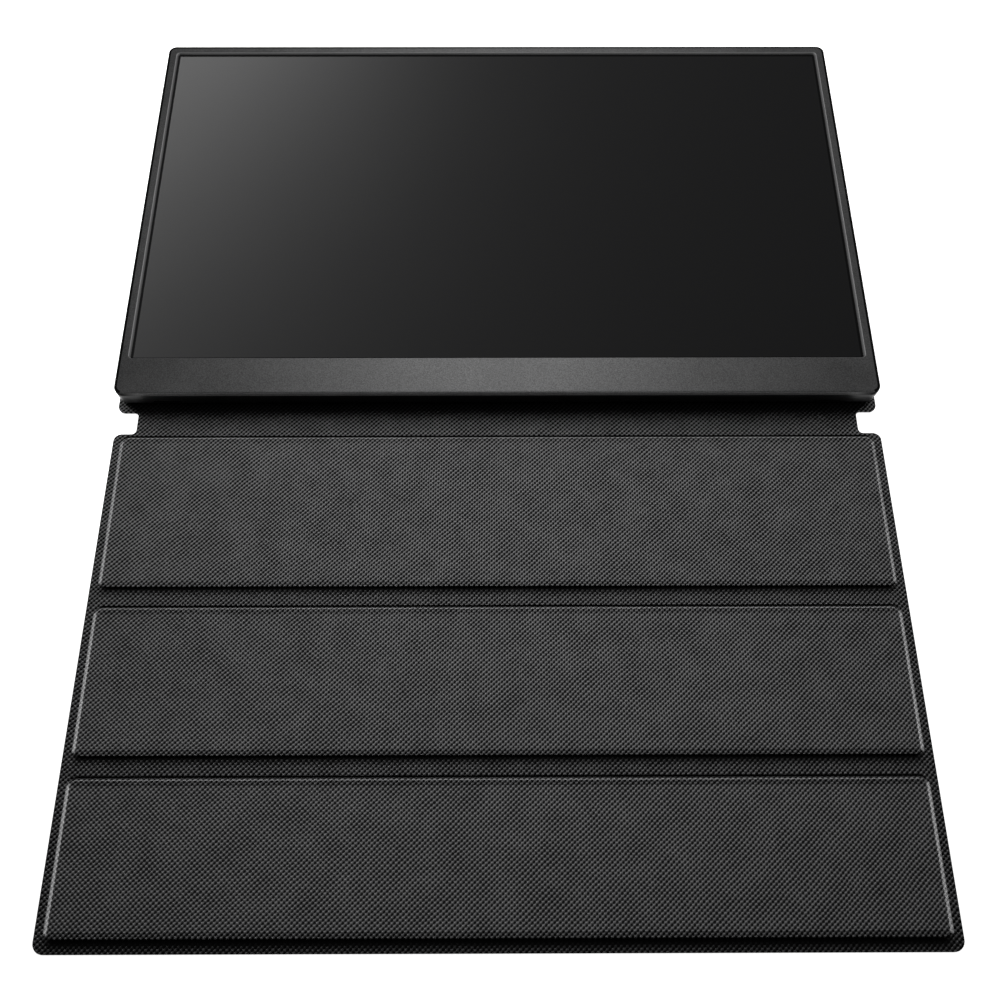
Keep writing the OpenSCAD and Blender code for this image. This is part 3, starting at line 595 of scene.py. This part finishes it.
# Finishes of CAD nodes that stay in sight: colour, size of the grain and depth of its bump in
# millimetres, roughness, how metallic, mottle, and the nodes
PLAIN_FINISHES = {
    "cover_board": ((0.36, 0.33, 0.28), 1.2, 0.05, 0.85, 0.0, 0.2, BOARDS),
    "magnet": ((0.62, 0.62, 0.63), 0.4, 0.003, 0.24, 1.0, 0.05, MAGNETS),
    "gasket_foam": ((0.006, 0.006, 0.006), 0.6, 0.05, 0.95, 0.0, 0.12, ("screen_gasket",)),
    "socket_steel": (
        (0.52, 0.52, 0.53), 0.5, 0.004, 0.3, 1.0, 0.06, ("usb_c_sockets", "mini_hdmi_socket")
    ),
    "jack_plastic": ((0.012, 0.012, 0.012), 0.4, 0.01, 0.5, 0.0, 0.12, ("audio_jack",)),
    "mesh_steel": ((0.4, 0.4, 0.41), 0.3, 0.01, 0.4, 0.5, 0.12, ("speaker_meshes",)),
    "optical_film": ((0.80, 0.80, 0.78), 0.8, 0.004, 0.5, 0.0, 0.03, ("optical_films",)),
    "reflector_film": ((0.90, 0.90, 0.90), 0.6, 0.006, 0.6, 0.0, 0.02, ("reflector_sheet",)),
    "tray_metal": ((0.55, 0.55, 0.56), 0.7, 0.006, 0.36, 1.0, 0.06, ("backlight_tray",)),
    "tin_shield": ((0.66, 0.66, 0.67), 0.9, 0.006, 0.32, 1.0, 0.05, ("board_shield",)),
    "screw_steel": ((0.45, 0.45, 0.46), 0.3, 0.01, 0.3, 1.0, 0.1, ("board_screws",)),
    "bracket_plastic": ((0.03, 0.03, 0.032), 0.4, 0.02, 0.55, 0.0, 0.12, ("button_bracket",)),
    "speaker_box": (
        (0.015, 0.015, 0.016), 0.5, 0.02, 0.6, 0.0, 0.12, ("speaker_left", "speaker_right")
    ),
    "lead_wire": ((0.38, 0.035, 0.03), 1.2, 0.02, 0.45, 0.0, 0.12, ("speaker_leads",)),
    "plate_steel": ((0.46, 0.46, 0.47), 0.6, 0.006, 0.34, 1.0, 0.08, ("steel_plates",)),
}


def finish_plainly(*names):
    """Gives the nodes of these plain finishes their materials."""
    for name in names:
        rgb, grain, depth, rough, metallic, mottle, nodes = PLAIN_FINISHES[name]
        material = grained(name, rgb, grain * MM, depth * MM, rough, metallic, mottle)
        for node in nodes:
            finish_node(node, material)


# ---------- the cover's sheets ----------

# Each stretch of fabric crosses one fold, from the middle of one board to the next
STRETCHES = (
    ("back", "prop", "back_fold", "back_board", "prop_board"),
    ("prop", "spine", "rear_crease", "prop_board", "outer_fabric_spine"),
    ("spine", "panel_1", "front_crease", "outer_fabric_spine", "board_panel_1"),
    ("panel_1", "panel_2", "groove_fold_1", "board_panel_1", "board_panel_2"),
    ("panel_2", "panel_3", "groove_fold_2", "board_panel_2", "board_panel_3"),
)
# How far on either side of its hinge each fold bends
BEND = {
    "back_fold": 1.9 * MM, "rear_crease": 1.5 * MM, "front_crease": 0.75 * MM,
    "groove_fold_1": 3.9 * MM, "groove_fold_2": 3.8 * MM,
}
# Rows of points over a bend and round a board's corner, and steps round the fabric's cut edge
BEND_ROWS = 12
CORNER_ROWS = 7
HEM_STEPS = 3
# Of the painted highlight on the side slopes, the share that shows under the monitor, and its
# gain per metre from the cover's middle towards the flap
LEAST_SHINE = 0.3
SHINE_GAIN = 3.6


def hinge_of(fold):
    """Where a fold's hinge lies along Y."""
    for joint in frame["joints"]:
        if fold in [d["node"] for d in joint.get("deforming_nodes") or []]:
            return joint["pos_m"][1]
    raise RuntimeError(f"no joint bends {fold}")


def middle(node):
    """The middle of a node's box along Y."""
    low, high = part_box(node)
    return (low.y + high.y) / 2


def cover_outline(bm, sizes, z):
    """The opened cover's outline as one face, with its notches and round corners."""
    low, high = cad_box[0], cad_box[1]
    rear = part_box("rear_crease")[0].y
    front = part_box("front_crease")[1].y
    wide = high.x
    slim = high.x - sizes.notch
    right = [
        (wide, low.y, sizes.corner), (wide, front, sizes.ear),
        (slim, front, sizes.notch_corner), (slim, rear, sizes.notch_corner),
        (wide, rear, sizes.ear), (wide, high.y, sizes.corner),
    ]
    left = [(-x, y, radius) for x, y, radius in reversed(right)]
    points = right + left
    verts = [bm.verts.new((x, y, z)) for x, y, _ in points]
    bm.faces.new(verts)
    for vert, (_, _, radius) in zip(verts, points):
        bmesh.ops.bevel(
            bm, geom=[vert], offset=radius, segments=COVER_CORNER_STEPS, profile=0.5,
            affect="VERTICES", material=-1,
        )


# The lining beside a board's edges: (distance from the board, height, painted light), in
# millimetres.
# At the front it ends in a long ramp, at the back in a crease, at the sides in a plain slope.
# The last board's front edge, at the flap's end, has painted shade for longer. Painted light is 1
# for a painted highlight on a slope, and -1 for painted shade down in a crease and on the ramp.
FRONT_FALL = (
    (0.0, 1.2, 0.0), (0.08, 1.19, 0.0), (0.18, 1.14, -0.3), (0.30, 1.02, -0.7),
    (0.50, 0.74, -1.0), (0.62, 0.63, -1.0), (0.78, 0.56, -1.0), (1.1, 0.47, -0.97),
    (1.5, 0.37, -0.87), (2.0, 0.26, -0.7), (2.6, 0.15, -0.5), (3.3, 0.06, -0.32),
    (4.3, 0.0, -0.12), (5.2, 0.0, 0.0),
)
LAST_FALL = FRONT_FALL[:7] + (
    (1.1, 0.47, -1.0), (1.5, 0.37, -1.0), (2.0, 0.26, -0.97), (2.6, 0.15, -0.9),
    (3.3, 0.06, -0.72), (4.3, 0.0, -0.5), (9.0, 0.0, -0.38),
)
BACK_FALL = (
    (0.0, 1.2, 0.0), (0.1, 1.19, 0.25), (0.22, 1.13, 0.3), (0.4, 0.99, 0.25), (0.9, 0.53, 0.0),
    (1.2, 0.20, -0.3), (1.5, -0.20, -0.8), (1.68, -0.43, -1.0), (1.85, -0.45, -1.0),
    (1.95, -0.40, -1.0), (2.15, -0.12, -0.6), (2.3, -0.02, -0.2), (2.45, 0.0, 0.0),
)
SIDE_FALL = (
    (0.0, 1.2, 0.1), (0.14, 1.18, 0.4), (0.28, 1.12, 0.8), (0.44, 1.03, 1.0), (1.6, 0.24, 1.0),
    (1.8, 0.12, 0.5), (2.0, 0.04, 0.1), (2.25, 0.0, 0.0),
)


def fall_at(table, distance):
    """The lining's height above its flat part, and its painted light, at a distance from a board.
    """
    for (near, high, wear), (far, low, next_painted_light) in zip(table, table[1:]):
        if distance <= far * MM:
            part = max(distance / MM - near, 0.0) / (far - near)
            return Vector(((high + (low - high) * part) * MM, wear + (next_painted_light - wear) * part))
    return Vector((0.0, 0.0))


def shine_at(y):
    """The share of the painted highlight on the side slopes that shows at a place along Y."""
    return min(max(LEAST_SHINE - SHINE_GAIN * y, LEAST_SHINE), 1.0)


def lift_at(radius, boxes, x, y):
    """How far the boards lift the lining at a place, and the light and shade painted on it there.
    """
    falls = []
    last = min(low.y for low, _ in boxes)
    for low, high in boxes:
        out_x = max(abs(x) - high.x + radius, 0.0)
        past = y - (low.y + high.y) / 2
        out_y = max(abs(past) - (high.y - low.y) / 2 + radius, 0.0)
        outside = max(math.hypot(out_x, out_y), MERGE)
        distance = max(outside - radius, 0.0)
        endways = (out_y / outside) ** 2
        side = fall_at(SIDE_FALL, distance)
        front = LAST_FALL if low.y == last else FRONT_FALL
        end = fall_at(BACK_FALL if past > 0 else front, distance)
        side.y *= shine_at(y) * (1 - min(endways * 3, 1.0))
        falls.append(side + (end - side) * endways)
    return max((fall[0] for fall in falls), key=abs), max((fall[1] for fall in falls), key=abs)


def spaced(first, last, count):
    """Evenly spaced values from first to last."""
    return [first + (last - first) * i / (count - 1) for i in range(count)]


def cuts_of(sizes, lifted):
    """Where a sheet needs rows of points along Y, and columns along X on the right."""
    rows = []
    for fold, reach in BEND.items():
        rows += spaced(hinge_of(fold) - reach, hinge_of(fold) + reach, BEND_ROWS)
    if not lifted:
        return rows, []
    last_row = -0.1 * MM
    corner = spaced(-sizes.board_corner, last_row, CORNER_ROWS)
    fronts, backs, sides = (
        corner + [distance * MM for distance, _, _ in table]
        for table in (FRONT_FALL, BACK_FALL, SIDE_FALL)
    )
    for board in BOARDS:
        low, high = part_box(board)
        rows += [low.y - away for away in fronts] + [high.y + away for away in backs]
    return rows, [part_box(BOARDS[0])[1].x + away for away in sides]


def lay_over_boards(bm, sizes, z):
    """Lifts a sheet over the boards and paints light and shade on it. Only its top sinks into a
    crease.
    """
    boxes = [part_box(board) for board in BOARDS]
    wear = bm.verts.layers.float.new("wear")
    for vert in bm.verts:
        lift, vert[wear] = lift_at(sizes.board_corner, boxes, vert.co.x, vert.co.y)
        under = vert.co.z < z + sizes.skin * 0.5
        vert.co.z += max(lift, 0.0) if under else lift


def cover_sheet(sizes, z, lifted):
    """The whole cover's outer fabric or lining as one closed sheet."""
    bm = bmesh.new()
    cover_outline(bm, sizes, z)
    made = bmesh.ops.extrude_face_region(bm, geom=list(bm.faces))
    top = [v for v in made["geom"] if isinstance(v, bmesh.types.BMVert)]
    bmesh.ops.translate(bm, verts=top, vec=(0.0, 0.0, sizes.skin))
    rim_z = z + sizes.skin if lifted else z
    on_rim = 0.01 * MM
    rim = [e for e in bm.edges if all(abs(v.co.z - rim_z) < on_rim for v in e.verts)]
    bmesh.ops.bevel(
        bm, geom=rim, offset=sizes.hem, segments=HEM_STEPS, profile=0.5,
        affect="EDGES", material=-1,
    )
    rows, columns = cuts_of(sizes, lifted)
    for y in rows:
        cut_through(bm, (0.0, y, 0.0), (0.0, 1.0, 0.0))
    for x in columns + [-x for x in columns]:
        cut_through(bm, (x, 0.0, 0.0), (1.0, 0.0, 0.0))
    if lifted:
        lay_over_boards(bm, sizes, z)
    rest_place = bm.verts.layers.float_vector.new("rest_place")
    for vert in bm.verts:
        vert[rest_place] = vert.co
    return bm


def cut_through(bm, place, normal, **clear):
    """Cuts every face along a plane, and clears one side if asked."""
    bmesh.ops.bisect_plane(
        bm, geom=bm.verts[:] + bm.edges[:] + bm.faces[:], dist=MERGE,
        plane_co=place, plane_no=normal, **clear,
    )


def stretch_of(whole, upper, lower):
    """The stretch of a sheet between two places along Y, closed at both ends."""
    bm = whole.copy()
    if upper is not None:
        cut_through(bm, (0.0, upper, 0.0), (0.0, 1.0, 0.0), clear_outer=True)
    if lower is not None:
        cut_through(bm, (0.0, lower, 0.0), (0.0, 1.0, 0.0), clear_inner=True)
    open_edges = [e for e in bm.edges if e.is_boundary]
    bmesh.ops.edgeloop_fill(bm, edges=open_edges)
    return bm


def lay_sheets(kind, z, lifted, material, slot, nodes):
    """Lays the outer fabric or the lining as five stretches, each bending over one fold."""
    sizes = bpy.context.scene.cover_sizes
    whole = cover_sheet(sizes, z, lifted)
    for index, (upper, lower, fold, upper_mid, lower_mid) in enumerate(STRETCHES):
        start = None if index == 0 else middle(upper_mid)
        end = None if index == len(STRETCHES) - 1 else middle(lower_mid)
        bm = stretch_of(whole, start, end)
        piece = new_piece(f"{kind}_{fold}", bm, material, slot, *nodes[index])
        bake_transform(piece)
    whole.free()


class COVER_OT_outer(bpy.types.Operator):
    """Lays the outer fabric, the cover's outside"""

    bl_idname = "monitor_cover.outer_fabric"
    bl_label = "Outer fabric"

    def execute(self, context):
        scene = context.scene
        lay_sheets(
            "outer_fabric", 0.0, False, woven("outer_fabric", scene.weave_look, 0.9),
            "cover_fabric",
            (
                ("outer_fabric_back", "back_fold"),
                ("outer_fabric_prop", "rear_crease"),
                ("outer_fabric_spine", "front_crease"),
                ("outer_fabric_panel_1", "groove_fold_1"),
                ("outer_fabric_panel_2", "outer_fabric_panel_3", "groove_fold_2"),
            ),
        )
        return {"FINISHED"}


class COVER_OT_lining(bpy.types.Operator):
    """Lays the lining, which the boards lift"""

    bl_idname = "monitor_cover.lining"
    bl_label = "Lining"

    def execute(self, context):
        scene = context.scene
        lay_sheets(
            "lining", scene.cover_sizes.skin, True, woven("lining", scene.weave_look, 1.0),
            "cover_lining",
            (
                ("lining_back",), ("lining_prop",), ("lining_spine",), ("lining_panel_1",),
                ("lining_panel_2", "lining_panel_3"),
            ),
        )
        return {"FINISHED"}


class COVER_OT_boards(bpy.types.Operator):
    """Finishes the boards and magnets between the fabrics"""

    bl_idname = "monitor_cover.boards"
    bl_label = "Boards and magnets"

    def execute(self, context):
        finish_plainly("cover_board", "magnet")
        return {"FINISHED"}


# ---------- the monitor ----------


# Steps round the frame's outer edge
EDGE_STEPS = 4
# Points closer than this to the frame's front edge lie on it
ON_EDGE = 0.1 * MM


def paint_frame_light(trim, shaded_rings, bevelled):
    """Paints light on rings of the frame: painted shade on the outer ones but for their front
    edge, a painted highlight on the lip.
    """
    for face in shaded_rings:
        front = min(vert.co.y for vert in face.verts)
        for vert in face.verts:
            vert[trim] = 1.0 if vert.co.y > front + ON_EDGE else 0.0
    for face in bevelled:
        for vert in face.verts:
            vert[trim] = -1.0


def shade_front_corners(bm, trim, sizes, low, high, split):
    """Paints the rim's shade on the front edge too, fading out inwards from each corner."""
    for side in (-1.0, 1.0):
        cut_through(bm, (side * (high.x - sizes.fade), 0.0, 0.0), (1.0, 0.0, 0.0))
    for vert in bm.verts:
        cornered = abs(vert.co.x) > high.x - sizes.corner - ON_EDGE
        if cornered and vert.co.y < low.y + ON_EDGE and vert.co.z > split:
            vert[trim] = 1.0


class MONITOR_OT_frame(bpy.types.Operator):
    """Makes the front frame: side band, face, bevelled lip and skirt in one ring"""

    bl_idname = "monitor_cover.front_frame"
    bl_label = "Front frame"

    def execute(self, context):
        sizes = context.scene.monitor_sizes
        low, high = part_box("front_frame")
        hole_low, hole_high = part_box("screen_gasket")
        hole = grown(hole_low, hole_high, -sizes.reveal)
        mouth = (hole[0] - sizes.lip, hole[1], hole[2] + sizes.lip, hole[3] + sizes.lip)
        crest = 0.12 * MM
        sill = 0.1 * MM
        chamfer = 0.15 * MM
        crisp = sizes.crisp
        brim = widened(mouth, crest)
        flat = widened(brim, crisp)
        split = high.z - sizes.band
        under = high.z - sizes.face
        inner = sizes.wall + sizes.skirt

        def outer(inset, z):
            return rounded_face(bm, grown(low, high, -inset), sizes.corner - inset, z)

        bm = bmesh.new()
        trim = bm.verts.layers.float.new("trim")
        shoulder = high.z - sizes.edge
        rings = [outer(chamfer, split), outer(0.0, split + chamfer)]
        rings += [outer(0.0, split + chamfer + crisp), outer(0.0, shoulder - crisp)]
        for step in range(EDGE_STEPS + 1):
            angle = math.radians(90) * step / EDGE_STEPS
            inset = sizes.edge * (1 - math.cos(angle))
            rings.append(outer(inset, shoulder + sizes.edge * math.sin(angle)))
        rings.append(outer(sizes.edge + sizes.rim, high.z))
        shaded_rings = rings[:]
        lip_corner = sizes.opening_corner + sizes.lip
        rings += [
            outer(sizes.edge + sizes.rim + crisp, high.z),
            rounded_face(bm, flat, lip_corner + crest + crisp, high.z),
        ]
        bevelled = [
            rounded_face(bm, brim, lip_corner + crest, high.z),
            rounded_face(bm, mouth, lip_corner, high.z - crest * 0.5),
        ]
        rings += bevelled + [
            rounded_face(bm, hole, sizes.opening_corner, under + sill),
            rounded_face(bm, hole, sizes.opening_corner, under),
            outer(inner, under), outer(inner, low.z),
            outer(sizes.wall, low.z), outer(sizes.wall, split),
        ]
        paint_frame_light(trim, shaded_rings, bevelled)
        lofted(bm, rings, closed=True)
        shade_front_corners(bm, trim, sizes, low, high, split)
        metal = frame_metal(context.scene.monitor_look)
        piece = new_piece("front_frame_ring", bm, metal, "frame_metal", "front_frame")
        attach(piece, "monitor")
        return {"FINISHED"}


class MONITOR_OT_screen(bpy.types.Operator):
    """Makes the screen: the LCD cell with its satin front and black border"""

    bl_idname = "monitor_cover.screen"
    bl_label = "Screen"

    def execute(self, context):
        sizes = context.scene.monitor_sizes
        low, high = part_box("lcd_cell")
        edge_low, edge_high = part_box("screen_gasket")
        inset = Vector((sizes.reveal, sizes.reveal, 0.0))
        bm = bmesh.new()
        slab(bm, low, high, radius=0.4 * MM, edge=0.08 * MM)
        glass = screen_glass(
            context.scene.monitor_look, sizes, edge_low + inset, edge_high - inset
        )
        piece = new_piece("screen_panel", bm, glass, "screen_glass", "lcd_cell")
        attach(piece, "monitor")
        finish_plainly("gasket_foam")
        return {"FINISHED"}


class MONITOR_OT_shell(bpy.types.Operator):
    """Makes the rear shell and finishes what shows through its wall"""

    bl_idname = "monitor_cover.rear_shell"
    bl_label = "Rear shell"

    def execute(self, context):
        look = context.scene.monitor_look
        metal = grained(
            "shell_metal", look.shell, 0.45 * MM, 0.014 * MM, 0.42, metallic=0.3, mottle=0.16
        )
        piece = new_piece(
            "rear_housing", softened_copy("rear_shell", 0.0), metal, "shell_metal", "rear_shell"
        )
        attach(piece, "monitor")
        finish_plainly("socket_steel", "jack_plastic", "mesh_steel")
        return {"FINISHED"}


class MONITOR_OT_keys(bpy.types.Operator):
    """Makes the power button and the menu rocker with softened edges"""

    bl_idname = "monitor_cover.keys"
    bl_label = "Keys"

    def execute(self, context):
        look = context.scene.monitor_look
        plastic = grained("key_plastic", look.key, 0.3 * MM, 0.012 * MM, 0.48)
        for node, body in (("power_button", "power_key"), ("menu_rocker", "menu_key")):
            piece = new_piece(
                f"{node}_cap", softened_copy(node, 0.12 * MM), plastic, "key_plastic", node
            )
            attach(piece, body)
        return {"FINISHED"}


class MONITOR_OT_inside(bpy.types.Operator):
    """Finishes the pieces inside the monitor"""

    bl_idname = "monitor_cover.inside"
    bl_label = "Inside"

    def execute(self, context):
        finish_plainly(
            "optical_film", "reflector_film", "tray_metal", "tin_shield", "screw_steel",
            "bracket_plastic", "speaker_box", "lead_wire", "plate_steel",
        )
        lines = 1.0 * MM
        guide = dotted("light_guide", (0.72, 0.78, 0.79), (0.9, 0.9, 0.9), 1.6 * MM, 0.12)
        flex = ribbed("flex_film", (0.50, 0.22, 0.05, 1.0), (0.30, 0.11, 0.02, 1.0), lines, 0.35)
        cable = ribbed("flat_cable", (0.42, 0.42, 0.43, 1.0), (0.22, 0.22, 0.23, 1.0), lines, 0.5)
        board = circuit_board("circuit_board")
        finishes = {
            "light_guide": guide, "led_bar": led_strip(), "cell_flexes": flex,
            "display_cable": cable, "button_cable": cable, "main_board": board,
            "driver_board": board, "button_board": board,
        }
        for node, material in finishes.items():
            finish_node(node, material)
        return {"FINISHED"}


# ---------- the studio ----------

# Where the camera stands, how it looks down, turns and rolls in radians, and its sensor and lens
# in millimetres
EYE = Vector((-0.88, -275.09, 480.74)) * MM
LOOK_DOWN = 1.11478
TURN = -0.00786
ROLL = 0.00508
SENSOR = 36.0
LENS = 42.44
# How far the floor reaches, which is where the backdrop stands, and how far it lies below z = 0
FLOOR_REACH = 12.0
FLOOR_DROP = 0.2 * MM
BACKDROP_SIDES = 64

CENTRE = (0.0, 0.0, 0.0)
SCREEN_CENTRE = (0.0, 0.13, 0.0)
KEY_SPREAD = 80.0
WIDE = 180.0
# Each light: name, setting of its power, place, aim, width, height and spread in degrees
LIGHTS = (
    ("key_left", "left", (-0.43, 0.39, 0.41), SCREEN_CENTRE, 0.45, 0.4, KEY_SPREAD),
    ("key_right", "right", (0.43, 0.39, 0.41), SCREEN_CENTRE, 0.45, 0.4, KEY_SPREAD),
    ("strip_left", "strips", (-0.9, 0.05, 0.07), CENTRE, 1.0, 0.12, WIDE),
    ("strip_right", "strips", (0.9, 0.05, 0.07), CENTRE, 1.0, 0.12, WIDE),
    ("bank", "bank", (0.0, 0.70, 0.89), CENTRE, 0.3, 0.3, WIDE),
    ("front", "front", (0.0, -1.0, 0.12), CENTRE, 0.8, 0.1, WIDE),
    ("sheen", "sheen", (-0.66, 0.54, 0.585), (-0.1, 0.15, 0.0), 1.6, 0.054, WIDE),
)
# The pieces that each light leaves out, or the only ones that it touches
FLAGS = {
    "key_left": ("EXCLUDE", "screen_panel", "front_frame_ring"),
    "key_right": ("EXCLUDE", "screen_panel", "front_frame_ring"),
    "strip_left": ("INCLUDE", "front_frame_ring"),
    "strip_right": ("INCLUDE", "front_frame_ring"),
    "bank": ("INCLUDE", "front_frame_ring"),
    "front": ("INCLUDE", "front_frame_ring"),
    "sheen": ("INCLUDE", "screen_panel"),
}


def soft_light(name, power, place, aim, across, along, spread):
    """A rectangular soft light at a place that points at aim, and spreads by degrees."""
    data = bpy.data.lights.new(name, "AREA")
    data.shape = "RECTANGLE"
    data.energy = power
    data.size = across
    data.size_y = along
    data.spread = math.radians(spread)
    light = bpy.data.objects.new(name, data)
    light.location = place
    light.rotation_euler = (Vector(aim) - Vector(place)).to_track_quat("-Z", "Y").to_euler()
    bpy.context.scene.collection.objects.link(light)


def staged(name, bm, look):
    """A part of the stage, of a finished bmesh in the floor's pale finish."""
    mesh = bpy.data.meshes.new(name)
    bm.to_mesh(mesh)
    bm.free()
    mesh.materials.append(
        grained(name, look.floor, 4 * MM, 0.01 * MM, 0.6, mottle=0.01, glow=look.glow)
    )
    part = bpy.data.objects.new(name, mesh)
    bpy.context.scene.collection.objects.link(part)
    return part


def place_camera(scene):
    """Makes the camera and looks through it."""
    data = bpy.data.cameras.new("camera")
    data.sensor_width = SENSOR
    data.lens = LENS
    camera = bpy.data.objects.new("camera", data)
    tilt = math.pi / 2 - LOOK_DOWN
    turned = (
        Matrix.Rotation(TURN, 4, "Z") @ Matrix.Rotation(tilt, 4, "X")
        @ Matrix.Rotation(ROLL, 4, "Z")
    )
    camera.matrix_world = Matrix.Translation(EYE) @ turned
    scene.collection.objects.link(camera)
    scene.camera = camera


def lay_floor(look):
    """Lays the floor, and a backdrop round it that only the camera sees."""
    bm = bmesh.new()
    bmesh.ops.create_grid(bm, x_segments=1, y_segments=1, size=FLOOR_REACH)
    bmesh.ops.translate(bm, verts=bm.verts, vec=(0.0, 0.0, -FLOOR_DROP))
    staged("floor", bm, look)
    bm = bmesh.new()
    bmesh.ops.create_cone(
        bm, cap_ends=False, segments=BACKDROP_SIDES, radius1=FLOOR_REACH, radius2=FLOOR_REACH,
        depth=FLOOR_REACH,
    )
    bmesh.ops.reverse_faces(bm, faces=bm.faces)
    backdrop = staged("backdrop", bm, look)
    backdrop.data.materials[0].cycles.emission_sampling = "NONE"
    for way in ("diffuse", "glossy", "transmission", "volume_scatter", "shadow"):
        setattr(backdrop, f"visible_{way}", False)


class STUDIO_OT_stage(bpy.types.Operator):
    """Sets the camera, the soft lights and the pale floor"""

    bl_idname = "monitor_cover.stage"
    bl_label = "Stage"

    def execute(self, context):
        scene = context.scene
        look = scene.studio_look
        place_camera(scene)
        lay_floor(look)
        for name, power, *rest in LIGHTS:
            soft_light(name, getattr(look, power), *rest)

        world = bpy.data.worlds.new("sky")
        world.use_nodes = True
        background = world.node_tree.nodes["Background"]
        background.inputs["Color"].default_value = (1.0, 1.0, 1.0, 1.0)
        background.inputs["Strength"].default_value = look.sky
        scene.world = world
        scene.view_settings.view_transform = "Standard"
        return {"FINISHED"}


class STUDIO_OT_flags(bpy.types.Operator):
    """Flags each light off the pieces that it must not touch"""

    bl_idname = "monitor_cover.flags"
    bl_label = "Flags"

    def execute(self, context):
        for name, (state, *pieces) in FLAGS.items():
            group = bpy.data.collections.new(f"{name}_flag")
            for piece in pieces:
                group.objects.link(bpy.data.objects[piece])
            for member in group.collection_objects:
                member.light_linking.link_state = state
            linking = bpy.data.objects[name].light_linking
            linking.receiver_collection = group
            if state == "INCLUDE":
                linking.blocker_collection = group
        return {"FINISHED"}


# ---------- the add-on ----------

GROUPS = {
    "monitor_sizes": MonitorSizes,
    "cover_sizes": CoverSizes,
    "weave_look": WeaveLook,
    "monitor_look": MonitorLook,
    "studio_look": StudioLook,
}
OPERATORS = (
    STUDIO_OT_stage, COVER_OT_outer, COVER_OT_lining, COVER_OT_boards, MONITOR_OT_frame,
    MONITOR_OT_screen, MONITOR_OT_shell, MONITOR_OT_keys, MONITOR_OT_inside, STUDIO_OT_flags,
)


class MONITOR_PT_panel(bpy.types.Panel):
    """Lists the sizes, the colours and the operators that build the pieces"""

    bl_label = "Portable Monitor"
    bl_idname = "MONITOR_PT_panel"
    bl_space_type = "VIEW_3D"
    bl_region_type = "UI"
    bl_category = "Monitor"

    def draw(self, context):
        for attribute, group in GROUPS.items():
            box = self.layout.box()
            box.label(text=attribute.replace("_", " ").capitalize())
            for name in group.__annotations__:
                box.prop(getattr(context.scene, attribute), name)
        for operator in OPERATORS:
            self.layout.operator(operator.bl_idname)


def register():
    """Registers the settings, the operators and the panel."""
    for attribute, group in GROUPS.items():
        bpy.utils.register_class(group)
        setattr(bpy.types.Scene, attribute, bpy.props.PointerProperty(type=group))
    for operator in OPERATORS:
        bpy.utils.register_class(operator)
    bpy.utils.register_class(MONITOR_PT_panel)


def unregister():
    """Takes the panel, the operators and the settings away again."""
    bpy.utils.unregister_class(MONITOR_PT_panel)
    for operator in reversed(OPERATORS):
        bpy.utils.unregister_class(operator)
    for attribute, group in GROUPS.items():
        delattr(bpy.types.Scene, attribute)
        bpy.utils.unregister_class(group)


def main():
    """Builds everything in order."""
    register()
    for operator in OPERATORS:
        group, name = operator.bl_idname.split(".")
        getattr(getattr(bpy.ops, group), name)()


if __name__ == "__main__":
    main()
